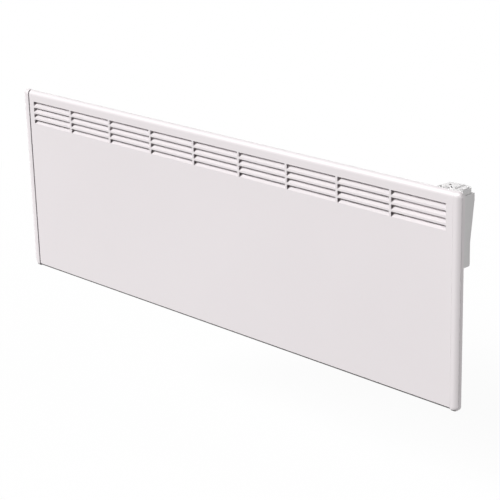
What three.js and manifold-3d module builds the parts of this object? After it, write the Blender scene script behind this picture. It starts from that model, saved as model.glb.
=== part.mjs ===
// Wall panel convector heater: a shallow louvred steel tray between two end trims, a deeper casing with a
// finned element behind it, a control box at the upper right, and a wall bracket that it hangs and tilts on.
// Millimetres. +X to the viewer's right, -Y out of the wall towards the viewer, +Z up.
// The origin is on the wall, in the middle of the bracket's crossbar, at the panel's mid height.
import * as THREE from 'three';
import { mergeVertices } from 'three/addons/utils/BufferGeometryUtils.js';
import Module from 'manifold-3d';

// Overall size
const panelWidth = 1195;
const panelHeight = 400;
const totalDepth = 85; // from the wall to the front plane

// Clearances
const seat = 0.3; // between pieces that rest on or butt against each other
const holePlay = 0.35; // round a screw, pin or bush in its hole
const runPlay = 0.5; // round a piece that turns
const over = 1; // how far a cutter runs past what it cuts, and a joined piece into its neighbour

// Front tray and end trims
const trimWidth = 17;
const trimWall = 1.6;
const trimProud = 0.6; // how far the trims stand out past the sheet
const sheetRise = 2; // the sheet's lower edge above the trims' lower edge
const sheetWall = 0.8;
const trayDepth = 11;
const cornerRadius = 10;
const edgeRadius = 8;
const returnLip = 14; // width of the lip turned in behind the tray's rim
const trimReturnLip = 15;
const screwSides = 10; // facets of a screw, a rivet and their holes

// Louvres
const sectionCount = 9;
const rowCount = 4;
const sectionMargin = 13.5; // from the trim's seam to the middle of the first bar
const barWidth = 4.8;
const slotPitch = 13.1;
const slotHeight = 9.4;
const slotTopDrop = 22.8; // from the panel's top to the first slot's upper edge
const tabLength = 9.3;
const tabAngle = THREE.MathUtils.degToRad(20); // above the horizontal, sloping up into the tray
const tabRootBack = 0.5; // how far the tab's root starts behind the sheet's face
const tabRootDrop = 0.9;
const tabEndCut = 0.3;

// Rear casing
const casingWall = 0.8;
const casingFlangeInset = 6; // the flange inside the trims' outer edges
const casingFlangeDrop = 4.5;
const casingInset = 37.5; // the pan inside the panel's ends
const casingTopDrop = 28;
const casingBottomRise = 16;
const casingDepth = 50; // from the front plane to the pan's back
const inletCount = 9;
const inletMargin = 30;
const inletBar = 14;
const inletFront = 20; // depths of the inlet's two long edges behind the front plane
const inletBack = 42;

// Screws
const screwRadius = 1.7;
const screwHeadRadius = 3.5;
const screwHeadHeight = 2.2;
const screwLength = 3.4;
const traySpan = 450; // from the middle to the outer screws along the tray's edges
const trayScrewInset = 10; // from the tray's upper and lower edge to the screws
const trimScrewInset = 10.5; // from the trims' outer edge to the screws
const trimScrewHeight = 150; // above and below the middle

// Control box
const boxInset = 15; // the box's side inside the panel's end
const boxBodyWidth = 55;
const boxWingWidth = 55;
const boxTopDrop = 13.5;
const boxHeight = 129.7;
const boxSlopeLow = 85.8; // the sloped back's two ends below the box's top
const boxSlopeHigh = 13.8;
const boxBackLow = 46.6; // depths behind the front plane
const boxBackHigh = 56.6;
const boxWall = 2;
const wingBack = 41;
const wingTopDrop = 11.5;
const wingHeight = 78.5;
const ventCount = 5;
const ventWidth = 2.4;
const ventPitch = 5.5;
const ventLength = 14;
const ventEdge = 4; // from the walls to the first vent
const earWidth = 16;
const earHeight = 14;
const earThickness = 2;
const earLap = 4; // how far an ear runs up behind the box's wall
const wingEarPlace = 16; // from the wing's side
const bodyEarPlace = 26; // from the body's inner side
const topRim = 3.5; // the box's top wall left standing round its opening
const boxGap = 6.5; // between the casing's stepped side and the box

// Lid, dial and switch
const lidTopDrop = 4;
const lidGap = 1.2; // the shadow groove between the box and the lid
const lidSideInset = 1.5;
const lidOverhang = 1.9;
const lidWall = 2;
const lidEdge = 3;
const lidCorner = 14;
const lidSmallCorner = 5;
const skirtInset = 2.4;
const dialInset = 34; // from the panel's end to the dial's axis
const dialDepth = 38;
const dialRadius = 16;
const dialSides = 32;
const dialChamfer = 1;
const dialTop = 1.2; // the dial's rim above the lid
const wellFloor = 1.5;
const wellRise = 0.4; // the well's underside above the lid's lower edge
const wellWall = 1.5;
const gripHeight = 2.2;
const gripWidth = 5;
const gripLength = 29;
const spindleRadius = 3;
const spindleBite = 4;
const bushRadius = 4.5;
const thermostatSize = 22;
const thermostatHeight = 15;
const thermostatRise = 0.6;
const boreDepth = 12;
const switchInset = 57;
const switchDepth = 22;
const bezelLength = 19.4;
const bezelWidth = 15;
const bezelHeight = 1;
const switchLength = 16.4;
const switchWidth = 12.4;
const switchHeight = 20;
const rockerHalf = 6.2;
const rockerWidth = 9;
const rockerCrest = 2.4; // its ends above the axis
const rockerValley = 1.6;
const rockerRoot = 4; // its underside below the axis
const rockerTaper = 1;
const rockerSlot = 13.8;
const rockerSlotWidth = 9.8;
const rockerSlotDepth = 11;
const rockerAxisDrop = 1.5; // below the lid's top
const rockerTilt = THREE.MathUtils.degToRad(12);
const lensRadius = 2;
const lensInset = 57;
const lensDepth = 43;
const lensHeight = 7;
const lensDome = 0.6;
const lensSides = 16;

// Inside the control box
const boardThickness = 1.6;
const boardDepth = 18; // behind the front plane
const boardHeight = 70;
const boardRise = 14;
const sensorRadius = 2.2;
const sensorLead = 0.6; // radius of its legs
const sensorDrop = 11; // its lower end below the board
const sensorPlace = 16; // from the box's inner side wall
const blockLength = 34;
const blockDepth = 14;
const blockHeight = 16;
const blockDrop = 22; // from the wing's top to the block's top
const blockInset = 6; // from the box's body to the block
const terminalBore = 2.4;
const glandRadius = 9;
const glandBore = 4.2;
const glandNeck = 6.5;
const glandLength = 12;
const glandFlange = 2.5;
const glandInside = 2; // how far its neck stands up inside the box
const glandDepth = 31;
const glandClear = 6; // from the casing's side to the gland's axis, so that the cord drops beside it

// Element and what carries it
const elementRise = 78; // the element's axis above the casing's bottom
const elementDepth = 31;
const elementEndGap = 62; // from the pan's side wall to the fins' end
const finHalf = 24;
const finThickness = 1.6;
const finAngle = THREE.MathUtils.degToRad(35); // from the vertical
const sheathRadius = 5;
const coreRadius = 7; // of the aluminium round the sheath, between the fins
const sheathOut = 24; // the sheath past the fins
const insulatorRadius = 9;
const insulatorNeck = 6.8;
const insulatorHalf = 5;
const insulatorPlace = 12; // its middle past the fins' end
const studRadius = 1.8;
const studLength = 10;
const supportWall = 1.2;
const supportHeight = 58;
const supportFoot = 14;
const supportFront = 14.5; // depth of the support's front edge
const cutoutRadius = 8;
const cutoutHeight = 7;
const cutoutPlace = 200;
const cutoutRise = 60; // above the element's axis
const cutoutTab = 5;
const cutoutSetback = 4; // its back face behind the element's axis
const cutoutTabSide = 4; // from the cut-out's axis to each tab
const cutoutTabWidth = 3.2;
const cutoutTabWall = 1.2;
const cutoutArm = 20; // width of its bracket
const cutoutDrop = 4; // from the disc's lower edge to the bracket's arm

// Wires
const wireRadius = 1.3;
const wireSides = 6;
const wireSpread = 1.9;
const wireBend = 7; // how far a wire stands off a terminal before it turns
const sleeveRadius = 4.9;
const sleeveBore = 4.1;
const sleeveRise = 15; // above the wing's bottom
const sleeveDepth = 28;
const sleeveOverhang = 3;

// Wall bracket and the tilting pivots
const bracketSpacing = 700;
const bracketGap = 13; // from the bracket's front edges to the casing, where the snap clips are
const bracketWall = 1.5;
const uprightWidth = 30;
const uprightTopDrop = 55;
const uprightBottomRise = 28;
const uprightChamfer = 4;
const crossbarHeight = 40;
const crossbarLap = 22;
const rivetRadius = 2;
const rivetHead = 3.4;
const rivetHeadHeight = 1.2;
const wallHoleRadius = 3;
const wallHoleInset = 30; // from the upright's ends
const pivotRise = 50; // the tilt axis above the panel's lower edge
const pinRadius = 3;
const hookWall = 3;
const hookHeight = 11;
const pivotArm = 2;
const pivotArmGap = 1;
const pivotArmHeight = 22;
const pinOverhang = 1.5;
const clipDrop = 75; // the snap clip's axis under the panel's top
const clipWall = 1;
const clipLength = 8.6;
const clipFlare = 1.5;
const tongueThickness = 2.4;
const tongueWidth = 20;
const tongueReach = 9;
const tongueFoot = 22;
const tongueFootWall = 1.5;

// Places worked out from the sizes above
const halfWidth = panelWidth / 2;
const halfHeight = panelHeight / 2;
const behindFront = (depth) => -totalDepth + depth;
const seamX = halfWidth - trimWidth;
const sectionPitch = (2 * seamX - 2 * sectionMargin) / sectionCount;
const sheetFace = behindFront(trimProud);
const trayBack = behindFront(trayDepth);
const flangeFront = trayBack + seat;
const flangeBack = flangeFront + casingWall;
const casingBack = behindFront(casingDepth);
const casingTop = halfHeight - casingTopDrop;
const casingBottom = -halfHeight + casingBottomRise;
const casingSide = halfWidth - casingInset;
const boxSide = halfWidth - boxInset;
const boxBody = boxSide - boxBodyWidth;
const wingSide = boxBody - boxWingWidth;
const boxTop = halfHeight - boxTopDrop;
const boxBottom = boxTop - boxHeight;
const boxFront = flangeBack + seat;
const wingTop = halfHeight - wingTopDrop;
const wingBottom = wingTop - wingHeight;
const notchSide = wingSide - boxGap;
const notchFloor = boxBottom - earHeight - boxGap + earLap;
const lidTop = halfHeight - lidTopDrop;
const lidBottom = boxTop + lidGap;
const dialX = halfWidth - dialInset;
const dialY = behindFront(dialDepth);
const dialPlace = [dialX, dialY, 0];
const lensPlace = [halfWidth - lensInset, behindFront(lensDepth), 0];
const wellBottom = lidBottom + wellRise;
const dialBottom = wellBottom + wellFloor + seat;
const dialRim = lidTop + dialTop;
const thermostatTop = wellBottom - thermostatRise;
const switchX = halfWidth - switchInset;
const switchY = behindFront(switchDepth);
const rockerZ = lidTop - rockerAxisDrop;
const elementZ = casingBottom + elementRise;
const elementY = behindFront(elementDepth);
const elementRight = casingSide - elementEndGap;
const elementAxis = [0, elementY, elementZ];
const innerBack = casingBack - casingWall; // the pan's inner back face
const sleeveZ = wingBottom + sleeveRise;
const sleeveY = behindFront(sleeveDepth);
const blockRight = boxBody - blockInset;
const blockTop = wingTop - blockDrop;
const blockBottom = blockTop - blockHeight;
const terminalX = (i) => blockRight - blockLength * (2.5 - i) / 3;
const blockBack = behindFront(wingBack) - boxWall - seat;
const cutoutZ = elementZ + cutoutRise;
const cutoutFace = elementY + cutoutSetback;
const bracketDepth = -casingBack - bracketGap;
const pivotZ = -halfHeight + pivotRise;
const hookRadius = pinRadius + holePlay + hookWall;
const pivotFoot = casingBack + seat + pivotArm; // back face of the pivot bracket's plate
const pivotY = pivotFoot + seat + hookRadius;
const clipZ = halfHeight - clipDrop;

const wasm = await Module();
wasm.setup();
const heater = new THREE.Group();

const paint = { color: 0xe9e5e7, roughness: 0.42, metalness: 0 };
const plastic = { color: 0xe6e4e5, roughness: 0.5, metalness: 0 };
const zinc = { color: 0xb9bcc0, roughness: 0.4, metalness: 0.85 };
const aluminium = { color: 0xc9cbce, roughness: 0.45, metalness: 0.8 };
const ceramic = { color: 0xe8e0d2, roughness: 0.6, metalness: 0 };
const darkPlastic = { color: 0x2b2b2d, roughness: 0.5, metalness: 0 };
const boardGreen = { color: 0x2f6b45, roughness: 0.5, metalness: 0 };
const amber = { color: 0xd9741c, roughness: 0.2, metalness: 0 };
const brown = { color: 0x6a3d23, roughness: 0.6, metalness: 0 };
const blue = { color: 0x2c4f9a, roughness: 0.6, metalness: 0 };
const yellowGreen = { color: 0x8fae2b, roughness: 0.6, metalness: 0 };

// Geometry to solid and back
function solid(geometry) {
  const bare = geometry.clone();
  bare.deleteAttribute('normal');
  bare.deleteAttribute('uv');
  const merged = mergeVertices(bare, 1e-4);
  return new wasm.Manifold(new wasm.Mesh({
    numProp: 3,
    vertProperties: new Float32Array(merged.attributes.position.array),
    triVerts: new Uint32Array(merged.index.array),
  }));
}

function surface(shape) {
  const mesh = shape.getMesh();
  const geometry = new THREE.BufferGeometry();
  geometry.setAttribute('position', new THREE.BufferAttribute(mesh.vertProperties, 3));
  geometry.setIndex(new THREE.BufferAttribute(mesh.triVerts, 1));
  geometry.computeVertexNormals();
  return geometry;
}

const join = (...shapes) => shapes.reduce((sum, next) => sum.add(next));
const cut = (base, ...cutters) => cutters.reduce((rest, next) => rest.subtract(next), base);

function add(name, shape, look) {
  const mesh = new THREE.Mesh(surface(shape), new THREE.MeshStandardMaterial(look));
  mesh.name = name;
  heater.add(mesh);
}

// Basic shapes
const around = (centre, size) => [centre - size / 2, centre + size / 2];

function block([x0, x1], [y0, y1], [z0, z1]) {
  const geometry = new THREE.BoxGeometry(x1 - x0, y1 - y0, z1 - z0);
  return solid(geometry.translate((x0 + x1) / 2, (y0 + y1) / 2, (z0 + z1) / 2));
}

const outline = (points) => new THREE.Shape(points.map(([u, v]) => new THREE.Vector2(u, v)));

function extrude(shapes, depth, axes, origin) {
  const geometry = new THREE.ExtrudeGeometry(shapes, { depth, bevelEnabled: false, curveSegments: 6 });
  const frame = new THREE.Matrix4().makeBasis(...axes).setPosition(...origin);
  return solid(geometry.applyMatrix4(frame));
}

const right = new THREE.Vector3(1, 0, 0);
const back = new THREE.Vector3(0, 1, 0);
const up = new THREE.Vector3(0, 0, 1);
const forward = new THREE.Vector3(0, -1, 0);

// Outlines drawn in (y, z), (x, z) and (x, y)
const prismX = (shapes, x0, x1) => extrude(shapes, x1 - x0, [back, up, right], [x0, 0, 0]);
const prismY = (shapes, y0, y1) => extrude(shapes, y1 - y0, [right, up, forward], [0, y1, 0]);
const prismZ = (shapes, z0, z1) => extrude(shapes, z1 - z0, [right, back, up], [0, 0, z0]);

// A turned shape from [radius, along] points that start and end on the axis or close on themselves
function turned(profile, axis, [x, y, z], sides = 20) {
  const geometry = new THREE.LatheGeometry(profile.map(([r, a]) => new THREE.Vector2(r, a)), sides);
  geometry.applyQuaternion(new THREE.Quaternion().setFromUnitVectors(back, axis));
  return solid(geometry.translate(x, y, z));
}

const rod = (radius, from, to) => [[0, from], [radius, from], [radius, to], [0, to]];

// Front tray: a rounded slab from the front plane back, its front edges turned over in a quarter round
function roundedSlab([x0, x1], [z0, z1], front, rear, corner, edge) {
  const shape = new THREE.Shape();
  shape.moveTo(x0 + corner, z0);
  shape.lineTo(x1 - corner, z0);
  shape.absarc(x1 - corner, z0 + corner, corner, -Math.PI / 2, 0);
  shape.lineTo(x1, z1 - corner);
  shape.absarc(x1 - corner, z1 - corner, corner, 0, Math.PI / 2);
  shape.lineTo(x0 + corner, z1);
  shape.absarc(x0 + corner, z1 - corner, corner, Math.PI / 2, Math.PI);
  shape.lineTo(x0, z0 + corner);
  shape.absarc(x0 + corner, z0 + corner, corner, Math.PI, 1.5 * Math.PI);
  const depth = rear - front;
  const geometry = new THREE.ExtrudeGeometry(shape, {
    depth,
    curveSegments: 3,
    bevelSegments: 5,
    bevelSize: edge,
    bevelOffset: -edge,
    bevelThickness: edge,
  });
  const frame = new THREE.Matrix4().makeBasis(right, up, forward).setPosition(0, front + depth + edge, 0);
  const slab = solid(geometry.applyMatrix4(frame));
  const rearCut = block([x0 - over, x1 + over], [rear, rear + 3 * edge], [z0 - over, z1 + over]);
  return slab.subtract(rearCut);
}

function trayShell(front, [z0, z1], wall, lip) {
  const outer = roundedSlab([-halfWidth, halfWidth], [z0, z1], front, trayBack, cornerRadius, edgeRadius);
  const inner = roundedSlab([-halfWidth + wall, halfWidth - wall], [z0 + wall, z1 - wall], front + wall,
    trayBack - wall, cornerRadius - wall, edgeRadius - wall);
  const mouth = block([-halfWidth + lip, halfWidth - lip], [trayBack - wall - over, trayBack + over],
    [z0 + lip, z1 - lip]);
  return cut(outer, inner, mouth);
}

function slotRows() {
  const slots = [];
  for (let section = 0; section < sectionCount; section += 1) {
    const start = -seamX + sectionMargin + section * sectionPitch + barWidth / 2;
    const end = start + sectionPitch - barWidth;
    for (let row = 0; row < rowCount; row += 1) {
      const top = halfHeight - slotTopDrop - row * slotPitch;
      slots.push({ start, end, top, bottom: top - slotHeight });
    }
  }
  return slots;
}

function slotTab({ start, end, bottom }) {
  const y = sheetFace + tabRootBack;
  const z = bottom - tabRootDrop;
  const tip = [y + Math.cos(tabAngle) * tabLength, z + Math.sin(tabAngle) * tabLength];
  const thick = [-Math.sin(tabAngle) * sheetWall, Math.cos(tabAngle) * sheetWall];
  const profile = [[y, z], tip, [tip[0] + thick[0], tip[1] + thick[1]], [y + thick[0], z + thick[1]]];
  return prismX(outline(profile), start + tabEndCut, end - tabEndCut);
}

function screwHole(x, z, y0, y1) {
  return turned(rod(screwRadius + holePlay, y0, y1), back, [x, 0, z], screwSides);
}

const trayScrews = [-1, 0, 1].flatMap((side) => [
  [side * traySpan, halfHeight - trayScrewInset],
  [side * traySpan, -halfHeight + trayScrewInset],
]);
const trimScrews = [-1, 1].flatMap((side) => [
  [side * (halfWidth - trimScrewInset), trimScrewHeight],
  [side * (halfWidth - trimScrewInset), -trimScrewHeight],
]);
const ears = [[wingSide + wingEarPlace, wingBottom], [boxBody + bodyEarPlace, boxBottom]].map(([x, edge]) => (
  { x, bottom: edge - earHeight + earLap, middle: edge - earHeight / 2 + earLap / 2 }
));
const earScrews = ears.map(({ x, middle }) => [x, middle]);

function buildFrontPanel() {
  const shell = trayShell(sheetFace, [-halfHeight + sheetRise, halfHeight - trimProud], sheetWall, returnLip);
  const middle = block(around(0, 2 * seamX - seat), [-totalDepth - over, trayBack + over],
    around(0, panelHeight + 2 * over));
  const slots = slotRows();
  const openings = prismY(slots.map(({ start, end, top, bottom }) => outline([
    [start, bottom], [end, bottom], [end, top], [start, top],
  ])), sheetFace - over, sheetFace + sheetWall + over);
  const holes = trayScrews.map(([x, z]) => screwHole(x, z, trayBack - sheetWall - over, trayBack + over));
  const sheet = cut(shell.intersect(middle), openings, ...holes);
  add('front_panel', join(sheet, ...slots.map(slotTab)), paint);
}

function buildTrims() {
  const shell = trayShell(-totalDepth, [-halfHeight, halfHeight], trimWall, trimReturnLip);
  const holes = trimScrews.map(([x, z]) => screwHole(x, z, trayBack - trimWall - over, trayBack + over));
  const drilled = cut(shell, ...holes);
  const inner = seamX + seat / 2;
  const depths = [-totalDepth - over, trayBack + over];
  const heights = around(0, panelHeight + 2 * over);
  add('end_trim_left', drilled.intersect(block([-halfWidth - over, -inner], depths, heights)), paint);
  add('end_trim_right', drilled.intersect(block([inner, halfWidth + over], depths, heights)), paint);
}

// Rear casing: a pan with a step cut out of its upper right for the control box, on a flat flange
function panOutline(inset) {
  const side = casingSide - inset;
  const step = notchSide - inset;
  return outline([
    [-side, casingBottom + inset], [side, casingBottom + inset], [side, notchFloor - inset],
    [step, notchFloor - inset], [step, casingTop - inset], [-side, casingTop - inset],
  ]);
}

function inletSlots() {
  const span = 2 * (casingSide - inletMargin);
  const pitch = span / inletCount;
  const slots = [];
  const depths = [behindFront(inletFront), behindFront(inletBack)];
  const heights = [casingBottom - over, casingBottom + casingWall + over];
  for (let i = 0; i < inletCount; i += 1) {
    const middle = -span / 2 + (i + 0.5) * pitch;
    slots.push(block(around(middle, pitch - inletBar), depths, heights));
  }
  return slots;
}

function sleeveHole(x0, x1) {
  return turned(rod(sleeveRadius + holePlay, x0 - over, x1 + over), right, [0, sleeveY, sleeveZ]);
}

function buildRearCasing() {
  const flangeX = halfWidth - casingFlangeInset;
  const flangeZ = halfHeight - casingFlangeDrop;
  const flange = block([-flangeX, flangeX], [flangeFront, flangeBack], [-flangeZ, flangeZ]);
  const pan = prismY(panOutline(0), flangeFront, casingBack);
  const hollow = prismY(panOutline(casingWall), flangeFront - over, innerBack);
  const holes = [...trayScrews, ...trimScrews, ...earScrews].map(([x, z]) => (
    screwHole(x, z, flangeFront - over, flangeBack + over)
  ));
  const wireHole = sleeveHole(notchSide - casingWall, notchSide);
  add('rear_casing', cut(join(flange, pan), hollow, wireHole, ...holes, ...inletSlots()), paint);
}

// Fasteners
function screw([x, z], face) {
  const profile = [
    [0, -screwLength], [screwRadius, -screwLength + 1], [screwRadius, 0], [screwHeadRadius, 0],
    [screwHeadRadius, screwHeadHeight * 0.5], [screwHeadRadius * 0.7, screwHeadHeight], [0, screwHeadHeight],
  ];
  return turned(profile, back, [x, face, z], screwSides);
}

function buildScrews() {
  trayScrews.forEach((place, i) => add(`tray_screw_${i + 1}`, screw(place, flangeBack + seat), zinc));
  trimScrews.forEach((place, i) => add(`trim_screw_${i + 1}`, screw(place, flangeBack + seat), zinc));
  const earFace = boxFront + earThickness + seat;
  earScrews.forEach((place, i) => add(`box_screw_${i + 1}`, screw(place, earFace), zinc));
}

// Control box
function boxProfile(inset, front) {
  return outline([
    [front, boxBottom + inset], [behindFront(boxBackLow) - inset, boxBottom + inset],
    [behindFront(boxBackLow) - inset, boxTop - boxSlopeLow],
    [behindFront(boxBackHigh) - inset, boxTop - boxSlopeHigh],
    [behindFront(boxBackHigh) - inset, boxTop - inset], [front, boxTop - inset],
  ]);
}

function bottomVents() {
  const vents = [];
  for (let i = 0; i < ventCount; i += 1) {
    const x = boxBody + boxWall + ventEdge + i * ventPitch;
    const depths = [boxFront + ventEdge, boxFront + ventEdge + ventLength];
    vents.push(block([x, x + ventWidth], depths, [boxBottom - over, boxBottom + boxWall + over]));
  }
  return vents;
}

const glandX = casingSide + glandClear;
const glandY = behindFront(glandDepth);

function buildControlBox() {
  const body = prismX(boxProfile(0, boxFront), boxBody, boxSide);
  const wingDepths = [boxFront, behindFront(wingBack)];
  const wing = join(block([wingSide, boxBody], wingDepths, [wingBottom, wingTop]),
    block([wingSide, boxBody + over], wingDepths, [wingBottom, boxTop - over]));
  const lugs = ears.map(({ x, bottom }) => (
    block(around(x, earWidth), [boxFront, boxFront + earThickness], [bottom, bottom + earHeight])
  ));
  const bodyHollow = prismX(boxProfile(boxWall, boxFront - over), boxBody + boxWall, boxSide - boxWall);
  const hollowDepths = [boxFront - over, behindFront(wingBack) - boxWall];
  const wingHollow = block([wingSide + boxWall, boxBody - boxWall], hollowDepths,
    [wingBottom + boxWall, wingTop - boxWall]);
  const passage = block([boxBody - boxWall - over, boxBody + boxWall + over], hollowDepths,
    [wingBottom + boxWall, boxTop - 2 * boxWall]);
  const topHole = block([boxBody + topRim, boxSide - topRim],
    [boxFront + seat, behindFront(boxBackHigh) - topRim], [boxTop - boxWall - over, boxTop + over]);
  const glandHole = turned(rod(glandNeck + holePlay, boxBottom - over, boxBottom + boxWall + over), up,
    [glandX, glandY, 0]);
  const shell = cut(join(body, wing), bodyHollow, wingHollow, passage, topHole, glandHole,
    sleeveHole(wingSide, wingSide + boxWall), ...bottomVents());
  const holes = earScrews.map(([x, z]) => screwHole(x, z, boxFront - over, boxFront + earThickness + over));
  add('control_box', cut(join(shell, ...lugs), ...holes), plastic);
}

function lidOutline(inset) {
  const x0 = boxBody + seat + inset;
  const x1 = boxSide - lidSideInset - inset;
  const y0 = boxFront + seat + inset;
  const y1 = behindFront(boxBackHigh) + lidOverhang - inset;
  const small = Math.max(lidSmallCorner - inset, seat);
  const large = Math.max(lidCorner - inset, seat);
  const shape = new THREE.Shape();
  shape.moveTo(x0 + small, y0);
  shape.lineTo(x1 - small, y0);
  shape.absarc(x1 - small, y0 + small, small, -Math.PI / 2, 0);
  shape.lineTo(x1, y1 - large);
  shape.absarc(x1 - large, y1 - large, large, 0, Math.PI / 2);
  shape.lineTo(x0 + small, y1);
  shape.absarc(x0 + small, y1 - small, small, Math.PI / 2, Math.PI);
  shape.lineTo(x0, y0 + small);
  shape.absarc(x0 + small, y0 + small, small, Math.PI, 1.5 * Math.PI);
  return shape;
}

function lidBody() {
  const geometry = new THREE.ExtrudeGeometry(lidOutline(0), {
    depth: lidTop - lidBottom,
    curveSegments: 3,
    bevelSegments: 3,
    bevelSize: lidEdge,
    bevelOffset: -lidEdge,
    bevelThickness: lidEdge,
  });
  const tall = solid(geometry.translate(0, 0, lidBottom - lidEdge));
  return tall.subtract(block([boxBody, boxSide], [-totalDepth, 0], [lidBottom - 2 * lidEdge, lidBottom]));
}

function buildLid() {
  const skirt = prismZ(lidOutline(skirtInset), boxTop + seat, lidBottom + over);
  const hollow = prismZ(lidOutline(skirtInset + lidWall), boxTop - over, lidTop - lidWall);
  const shell = cut(join(lidBody(), skirt), hollow);
  const dialWell = dialRadius + runPlay;
  const well = turned(rod(dialWell + wellWall, wellBottom, lidTop - lidWall / 2), up, dialPlace, dialSides);
  const wellBore = turned(rod(dialWell, wellBottom + wellFloor, lidTop + over), up, dialPlace, dialSides);
  const bushHole = turned(rod(bushRadius + holePlay, wellBottom - over, lidTop), up, dialPlace);
  const switchHole = block(around(switchX, switchLength + 2 * seat), around(switchY, switchWidth + 2 * seat),
    [boxTop - over, lidTop + over]);
  const lensBore = rod(lensRadius + seat, lidTop - lidWall - over, lidTop + over);
  const lensHole = turned(lensBore, up, lensPlace, lensSides);
  add('control_lid', cut(join(shell, well), wellBore, bushHole, switchHole, lensHole), plastic);
}

function buildDial() {
  const knob = turned([
    [0, dialBottom], [dialRadius - dialChamfer, dialBottom], [dialRadius, dialBottom + dialChamfer],
    [dialRadius, dialRim - dialChamfer], [dialRadius - dialChamfer, dialRim], [0, dialRim],
  ], up, dialPlace, dialSides);
  const grip = block(around(dialX, gripWidth), around(dialY, gripLength),
    [dialRim - over, dialRim + gripHeight]);
  const boreTop = dialBottom + spindleBite + seat;
  const bore = turned(rod(spindleRadius + seat, dialBottom - over, boreTop), up, dialPlace);
  add('thermostat_dial', cut(join(knob, grip), bore), plastic);
  const spindleBottom = thermostatTop - boreDepth + seat;
  add('dial_spindle', turned(rod(spindleRadius, spindleBottom, boreTop - seat), up, dialPlace), zinc);
}

function buildThermostat() {
  const body = block(around(dialX, thermostatSize), around(dialY, thermostatSize),
    [thermostatTop - thermostatHeight, thermostatTop]);
  const bushTop = dialBottom - runPlay;
  const bush = turned(rod(bushRadius, thermostatTop - over, bushTop), up, dialPlace);
  const boreProfile = rod(spindleRadius + holePlay, thermostatTop - boreDepth, bushTop + over);
  const bore = turned(boreProfile, up, dialPlace);
  add('thermostat_body', cut(join(body, bush), bore), darkPlastic);
}

function buildSwitch() {
  const bezelBottom = lidTop + seat;
  const bezel = block(around(switchX, bezelLength), around(switchY, bezelWidth),
    [bezelBottom, bezelBottom + bezelHeight]);
  const body = block(around(switchX, switchLength), around(switchY, switchWidth),
    [lidTop - switchHeight, bezelBottom + bezelHeight / 2]);
  const slot = block(around(switchX, rockerSlot), around(switchY, rockerSlotWidth),
    [lidTop - rockerSlotDepth, bezelBottom + bezelHeight + over]);
  add('switch_body', cut(join(bezel, body), slot), darkPlastic);

  // The rocker's side view, drawn about its axis, is tipped to the off position
  const foot = rockerHalf - rockerTaper;
  const profile = outline([
    [-rockerHalf, rockerCrest], [-foot, -rockerRoot], [foot, -rockerRoot], [rockerHalf, rockerCrest],
    [0, rockerValley],
  ]);
  const geometry = new THREE.ExtrudeGeometry(profile, { depth: rockerWidth, bevelEnabled: false });
  geometry.translate(0, 0, -rockerWidth / 2);
  geometry.applyMatrix4(new THREE.Matrix4().makeBasis(right, up, forward));
  geometry.rotateY(-rockerTilt);
  add('rocker_switch', solid(geometry.translate(switchX, switchY, rockerZ)), plastic);
}

function buildLens() {
  const top = lidTop + lensDome + seat;
  const profile = [
    [0, top - lensHeight], [lensRadius, top - lensHeight], [lensRadius, top - lensDome],
    [lensRadius - lensDome, top], [0, top],
  ];
  add('indicator_lens', turned(profile, up, lensPlace, lensSides), amber);
}

function buildBoxInside() {
  const boardY = behindFront(boardDepth);
  const boardBottom = boxBottom + boardRise;
  const board = block([boxBody + boxWall + seat, boxSide - boxWall - seat], [boardY, boardY + boardThickness],
    [boardBottom, boardBottom + boardHeight]);
  add('circuit_board', board, boardGreen);

  const bead = boardBottom - sensorDrop;
  const sensor = turned([
    [0, bead], [sensorRadius, bead + sensorRadius / 2], [sensorRadius, bead + 3 * sensorRadius],
    [sensorLead, bead + 3.5 * sensorRadius], [sensorLead, boardBottom - seat], [0, boardBottom - seat],
  ], up, [boxSide - boxWall - sensorPlace, boardY + boardThickness / 2, 0], 12);
  add('room_sensor', sensor, darkPlastic);

  const wells = [0, 1, 2].map((i) => (
    turned(rod(terminalBore, blockBack - blockDepth - over, blockBack - blockDepth / 2), back,
      [terminalX(i), 0, blockTop - blockHeight / 2], 12)
  ));
  add('terminal_block', cut(block([blockRight - blockLength, blockRight], [blockBack - blockDepth, blockBack],
    [blockTop - blockHeight, blockTop]), ...wells), ceramic);
}

function buildGland() {
  const flangeTop = boxBottom - seat;
  const top = boxBottom + boxWall + glandInside;
  const profile = [
    [glandBore, flangeTop - glandLength], [glandNeck, flangeTop - glandLength],
    [glandRadius, flangeTop - glandFlange], [glandRadius, flangeTop], [glandNeck, flangeTop],
    [glandNeck, top], [glandBore, top], [glandBore, flangeTop - glandLength],
  ];
  add('cable_gland', turned(profile, up, [glandX, glandY, 0]), darkPlastic);
}

// Element: two crossed aluminium fins on a sheathed rod, carried by two end supports and one in the middle
function finCross(x0, x1, play) {
  const wing = (angle) => {
    const plate = new THREE.BoxGeometry(x1 - x0, finThickness + 2 * play, 2 * (finHalf + play));
    plate.rotateX(angle);
    return solid(plate.translate((x0 + x1) / 2, elementY, elementZ));
  };
  const core = turned(rod(coreRadius + play, x0, x1), right, elementAxis);
  return join(wing(finAngle), wing(-finAngle), core);
}

function supportPlate(x) {
  const rear = innerBack - seat;
  const heights = around(elementZ, supportHeight);
  const plate = block(around(x, supportWall), [behindFront(supportFront), rear], heights);
  const foot = block([x, x + supportFoot], [rear - supportWall, rear], heights);
  return join(plate, foot);
}

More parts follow.
